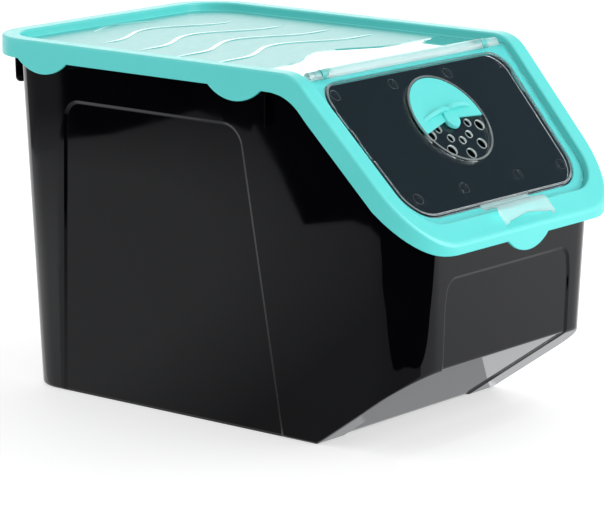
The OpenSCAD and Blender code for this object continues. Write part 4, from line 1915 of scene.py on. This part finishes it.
    def build(self) -> None:
        """Makes the flip lid's pieces and dresses them."""
        clear, frosted = ClearPlastic().make(), FrostedPlastic().make()
        milky = FrostedPlastic("milky_plastic", clearness=0.3).make()
        sheet = self.sheet().build("clear_sheet", [clear, frosted, milky])
        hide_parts("flip_lid")
        pieces = [
            sheet,
            self.hinge_bar().build("hinge_bar", [frosted]),
            self.latch().build("finger_latch", [frosted], sharp=50),
            self.ejector_marks().build("ejector_marks", [clear]),
        ]
        for piece in pieces:
            piece.visible_shadow = False
            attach(piece, "flip_lid")
            log.info("flip lid piece %s: %d faces", piece.name, len(piece.data.polygons))


# ------------------------ vent shutter


@dataclass
class VentShutter:
    """The teal half disc that turns over the vent holes, with a bow-shaped grip.

    The disc runs past a half turn at both ends, and stands turned by a few degrees.  The grip's
    half widths are those at its tips and in its middle.
    """

    top: BentTop
    lid: FlipLid
    thickness: float = 1.6
    gap: float = 0.3
    rim_gap: float = 0.4
    past: float = 9.3
    turn: float = 5.0
    hub_radius: float = 7.2
    hub_rise: float = 3.0
    tongue_root: Pair = (6.0, -1.0)
    tongue_turns: Pair = (205.0, 335.0)
    pivot_radius: float = 2.5
    grip_half: float = 26.0
    grip_height: float = 4.2
    grip_place: float = 4.0
    grip_bow: float = 1.9
    grip_dip: float = 0.4
    grip_peak: float = 0.19
    grip_halves: Pair = (1.35, 1.75)

    @property
    def foot(self) -> float:
        """Height of the underside above the rim plane."""
        return self.lid.head + self.gap

    @property
    def radius(self) -> float:
        """Radius of the half disc."""
        return self.lid.vent_radius - self.lid.ring_width - self.rim_gap

    def place(self, flat: Array, rise: float | Array) -> Array:
        """Places in space of points round the pivot, turned as the shutter is.

        Args:
            flat: Rows of two coordinates, from the pivot.
            rise: Height above the rim plane.

        Returns:
            Rows of x, y and z.
        """
        sin, cos = math.sin(math.radians(self.turn)), math.cos(math.radians(self.turn))
        right, up = flat.T
        turned = columns(right * cos - up * sin, self.lid.vent_v - right * sin - up * cos)
        return self.top.on_slope(turned, rise)

    def disc(self) -> MeshDraft:
        """The half disc with its lower edges drawn in to the hub's tongue.

        Returns:
            The draft.
        """
        rim = arc((0, 0), self.radius, np.linspace(-self.past, 180 + self.past, 61))
        root = np.array(self.tongue_root)
        lower = []
        for start, end in ((rim.points[-1], root * [-1, 1]), (root, rim.points[0])):
            along = unit(end - start)
            points = start + np.outer(np.linspace(0.02, 0.98, 8), end - start)
            lower.append(straight(*points.T, (along[1], -along[0])))
        tongue = arc((0, -0.8), self.hub_radius, np.linspace(*self.tongue_turns, 17))
        foot, head = self.foot, self.foot + self.thickness
        draft = MeshDraft()
        draft.slab(joined(rim, lower[0], tongue, lower[1]), [
            (-0.35, foot), (-0.08, foot + 0.1), (0, foot + 0.35),
            (0, head - 0.45), (-0.12, head - 0.12), (-0.45, head)], self.place)
        return draft

    def hub(self, draft: MeshDraft) -> None:
        """Adds the raised tongue over the pivot, and the pivot with its snap head.

        Args:
            draft: The grip's draft.
        """
        foot, head, sheet_foot = self.foot, self.foot + self.hub_rise, self.lid.foot
        halves = [arc((0, y), self.hub_radius - 1, np.linspace(start, start + 180, 19))
                  for y, start in ((0.5, 0), (-1.2, 180))]
        draft.slab(joined(*halves), [
            (0.6, foot + 1.0), (0.4, foot + 1.9), (0.1, head - 0.5), (-0.15, head - 0.15), (-0.6, head),
        ], self.place)
        draft.slab(ring_of((0, 0), self.pivot_radius, 28), [
            (-0.7, sheet_foot - 1.5), (0.6, sheet_foot - 0.9), (0.9, sheet_foot - 0.32),
            (0, sheet_foot - 0.3), (0, foot + 0.5)], self.place)

    def grip(self, draft: MeshDraft) -> None:
        """Adds the bow: two wings that rise from the disc and dip between them.

        Args:
            draft: The grip's draft.
        """
        xs = np.linspace(-self.grip_half, self.grip_half, 61)
        share, peak, dip = np.abs(xs) / self.grip_half, self.grip_peak, self.grip_dip
        wing = np.cos(np.clip((share - peak) / (1 - peak), 0, 1) * math.pi / 2) ** 0.85
        rise = np.where(share < peak, dip + (1 - dip) * smoothstep(share / peak), wing)
        height, bow = self.grip_height * rise + 0.05, self.grip_bow * (1 - share**2)
        thin, thick = self.grip_halves
        foot, half = self.foot + self.thickness - 0.3, thin + (thick - thin) * (1 - share)
        left = [(-1, 0), (-0.99, 0.85), (-0.9, 0.98), (-0.8, 1)]
        section = left + [(-across, up) for across, up in left[::-1]]
        draft.plugged([self.place(columns(xs, self.grip_place + bow + across * half),
                                  foot + up * (height + 0.3)) for across, up in section])

    def build(self) -> None:
        """Makes the shutter and dresses it."""
        satin = TealPlastic(Teal.SATIN).make()
        disc = self.disc().build("shutter_disc", [satin])
        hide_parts("vent_shutter")
        grip = MeshDraft()
        self.hub(grip)
        self.grip(grip)
        for piece in (disc, grip.build("shutter_grip", [satin])):
            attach(piece, "vent_shutter")
            log.info("shutter piece %s: %d faces", piece.name, len(piece.data.polygons))


# ------------------------ studio


@dataclass(frozen=True)
class Card:
    """A glowing card that only reflections see, which paints a reflection: even, with a brighter painted
    pool of light on it.

    The tones are the strengths away from the pool and in its middle, where 1 is white.  The pool
    has a centre, a turn about +Z in degrees and a reach along each axis, and it is even inside of
    "even" times its depth.  A card that lets light "through" is also seen through clear plastic.
    """

    name: str
    corners: list[Triple]
    tones: Pair
    centre: Triple = (0.0, 0.0, 0.0)
    turn: float = 0.0
    reach: Triple = (500.0, 500.0, 500.0)
    even: float = 1.0
    colour: Triple = (0.97, 0.98, 1.0)
    through: bool = False


@dataclass(frozen=True)
class Lamp:
    """A soft square lamp that faces a point; its power is in watts."""

    name: str
    place: Triple
    target: Triple
    size: float
    power: float


# Outlines that the cards on the floor share, which shape the painted reflections in the black walls: the
# black card's edge in front of the bin and on its left, and the seam between the left card and the rear one
FRONT_EDGE = [(600, -900), (170, -564), (17, -455), (-36, -393), (-105, -334)]
LEFT_EDGE = [(-105, -334), (-190, -293), (-227, -257), (-262, -174), (-390, -66), (-436, 34),
             (-493, 85), (-546, 235), (-517, 261), (-640, 385), (-775, 527), (-746, 507), (-785, 604),
             (-675, 612), (-640, 637), (-870, 855), (-1500, 1500)]
REAR_SEAM = [(-97.5, 133), (-610, 615), (-526, 683), (-199, 877), (-97.5, 890)]


def level(points: list[Pair], height: float) -> list[Triple]:
    """Flat places, all at one height."""
    return [(x, y, height) for x, y in points]


@dataclass
class Studio:
    """A pale floor, a white surround, soft lamps, glowing cards that paint reflections in the black walls,
    and the camera.
    """

    camera_place: Triple = (-1682.58, -1362.53, 561.43)
    camera_target: Triple = (-102.43, -81.52, 120.0)
    camera_roll: float = 0.1295
    lens: float = 197.634
    sensor: float = 36.0
    sight: float = 50.0
    floor_half: float = 6000.0
    floor_grey: float = 0.6
    floor_glow: float = 0.54
    ambient: float = 0.78
    lamps: tuple[Lamp, ...] = (
        Lamp("front_softbox", (900, -2050, 1150), (0, -100, 180), 2100, 35),
        Lamp("rear_softbox", (1900, 1540, 800), (0, 0, 240), 1800, 8),
    )
    tub_side: float = -97.5
    tub_front: float = -150.0
    card_height: float = 1.0
    chamfer_front: float = -125.0
    chamfer_rear: float = -88.0
    chamfer_height: float = 0.5

    def build_camera(self) -> None:
        """Sets the camera."""
        data = bpy.data.cameras.new("camera")
        data.lens, data.sensor_width, data.clip_end = self.lens, self.sensor, self.sight
        camera = add_object("camera", data)
        place, target = Vector(self.camera_place), Vector(self.camera_target)
        turn = (target - place).to_track_quat("-Z", "Y").to_matrix()
        roll = Matrix.Rotation(math.radians(self.camera_roll), 3, "Z")
        camera.matrix_world = Matrix.Translation(place * MM) @ (turn @ roll).to_4x4()
        bpy.context.scene.camera = camera

    def build_sheet(self, name: str, corners: list, material: Material) -> bpy.types.Object:
        """Adds one flat face.

        Args:
            name: Name of the sheet.
            corners: Its corners, in millimetres.
            material: Its material.

        Returns:
            The sheet.
        """
        mesh = bpy.data.meshes.new(name)
        mesh.from_pydata([in_metres(corner) for corner in corners], [], [tuple(range(len(corners)))])
        mesh.materials.append(material)
        return add_object(name, mesh)

    def build_floor(self) -> None:
        """A pale floor that keeps the bin's shadow."""
        half = self.floor_half
        finish = Finish("pale_floor")
        finish.set(Base_Color=(*[self.floor_grey] * 3, 1), Roughness=0.6, Specular_IOR_Level=0.2,
                   Emission_Color=(1, 1, 1, 1), Emission_Strength=self.floor_glow)
        corners = level([(-half, -half), (half, -half), (half, half), (-half, half)], 0)
        floor = self.build_sheet("floor", corners, finish.material)

    def build_card(self, card: Card) -> None:
        """Adds a glowing card that only reflections see, which paints a reflection.

        Args:
            card: The card.
        """
        material = bare_material(card.name)
        tree = material.node_tree
        place = add_node(tree, "TexCoord").outputs["Object"]
        spread = add_node(tree, "Mapping", {"vector_type": "TEXTURE"}, Vector=place,
                          Location=in_metres(card.centre), Rotation=(0, 0, math.radians(card.turn)),
                          Scale=in_metres(card.reach))
        # The card's brighter middle is a painted pool of light.
        pool = add_node(tree, "TexGradient", {"gradient_type": "SPHERICAL"},
                        Vector=spread.outputs["Vector"])
        away, middle = card.tones
        ramp = add_node(tree, "MapRange", Value=pool.outputs["Fac"], From_Max=card.even,
                        To_Min=away, To_Max=middle)
        glow = add_node(tree, "Emission", Color=(*card.colour, 1), Strength=ramp.outputs["Result"])
        add_node(tree, "OutputMaterial", Surface=glow.outputs["Emission"])
        sheet = self.build_sheet(card.name, card.corners, material)
        sheet.visible_camera = sheet.visible_diffuse = sheet.visible_shadow = False
        sheet.visible_transmission = card.through

    def cards(self) -> list[Card]:
        """The glowing cards that paint the reflections in the bin's polished walls and clear plastic.

        Returns:
            Four cards on the floor round the bin, two under its cut that paint the shaded and the lit floor
            there, and one past its right side.
        """
        side, front, low = self.tub_side, self.tub_front, self.card_height
        near, back, lower = self.chamfer_front, self.chamfer_rear, self.chamfer_height
        left = [*LEFT_EDGE, (-1500, 2600), (side, 2600), *REAR_SEAM[::-1], (side, front)]
        camera = [*LEFT_EDGE[::-1], *FRONT_EDGE[-2::-1], (600, -4000), (-4000, -4000), (-4000, 3600)]
        ahead = [*FRONT_EDGE, (side, front), (900, front), (900, -900)]
        under = [(side, near), (63, near), (92, back), (side, back)]
        beside = [(63, near), (300, near), (300, back), (92, back)]
        past = [(1000, -1300, 700), (1900, -1300, 700), (1900, 700, 2200), (1000, 700, 2200)]
        return [
            # Dark and bright sheets on the floor, which paint the reflections in the black walls.
            Card("left_painted_reflection", level(left, low), (0.2, 0.48), centre=(-5, 416, 1), turn=167.4,
                 reach=(814, 450, 450), even=0.31),
            Card("rear_painted_reflection", level(REAR_SEAM, low), (0.42, 0.98), centre=(-150, 450, 1),
                 reach=(520, 520, 520)),
            Card("camera_painted_reflection", level(camera, low), (0.01, 0.01)),
            Card("front_painted_reflection", level(ahead, low), (0.6, 0.98), centre=(900, -300, 1),
                 reach=(900, 900, 900)),
            # These two paint the cut's reflection of the floor: its shadow under the tub, then the lit
            # floor beside it.
            Card("chamfer_painted_shadow", level(under, lower), (0.47, 0.47)),
            Card("chamfer_painted_light", level(beside, lower), (0.95, 0.95)),
            # A dim bluish sheet, which paints a reflection in the clear sheet and the teal slope.
            Card("sheet_painted_reflection", past, (0.24, 0.24), colour=(0.5, 0.8, 1.0), through=True),
        ]

    def build_lamp(self, lamp: Lamp) -> None:
        """Adds a soft square lamp that faces a point.

        Args:
            lamp: The lamp.
        """
        data = bpy.data.lights.new(lamp.name, "AREA")
        data.shape, data.size, data.energy = "SQUARE", lamp.size * MM, lamp.power
        light = add_object(lamp.name, data)
        place, target = Vector(lamp.place), Vector(lamp.target)
        light.location = place * MM
        light.rotation_mode = "QUATERNION"
        light.rotation_quaternion = (target - place).to_track_quat("-Z", "Y")

    def build_world(self) -> None:
        """A white surround for what is seen or mirrored, and an even light for the rest."""
        world = bpy.data.worlds.new("surround")
        world.use_nodes = True
        bpy.context.scene.world = world
        tree = world.node_tree
        tree.nodes.clear()
        rays = add_node(tree, "LightPath").outputs
        seen = rays["Is Camera Ray"]
        for kind in ("Is Glossy Ray", "Is Transmission Ray"):
            either = add_node(tree, "Math", {"operation": "MAXIMUM"})
            tree.links.new(seen, either.inputs[0])
            tree.links.new(rays[kind], either.inputs[1])
            seen = either.outputs[0]
        strength = add_node(tree, "MapRange", Value=seen, To_Min=self.ambient, To_Max=1.0)
        light = add_node(tree, "Background", Color=(1, 1, 1, 1), Strength=strength.outputs["Result"])
        add_node(tree, "OutputWorld", Surface=light.outputs["Background"])

    def build(self) -> None:
        """Sets up the whole studio."""
        self.build_camera()
        self.build_floor()
        self.build_world()
        for lamp in self.lamps:
            self.build_lamp(lamp)
        for card in self.cards():
            self.build_card(card)
        bpy.context.scene.view_settings.view_transform = "Standard"
        log.info("studio ready: %d lamps, %d cards", len(self.lamps), len(self.cards()))


def main() -> None:
    """Builds the studio and the four sub-assemblies, in order."""
    logging.basicConfig(level=logging.INFO, format="%(message)s")
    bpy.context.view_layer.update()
    Studio().build()
    top = BentTop.from_frame()
    Tub(top).build()
    lid_frame = LidFrame(top)
    lid_frame.build()
    flip_lid = FlipLid(top, lid_frame)
    flip_lid.build()
    VentShutter(top, flip_lid).build()


if __name__ == "__main__":
    main()
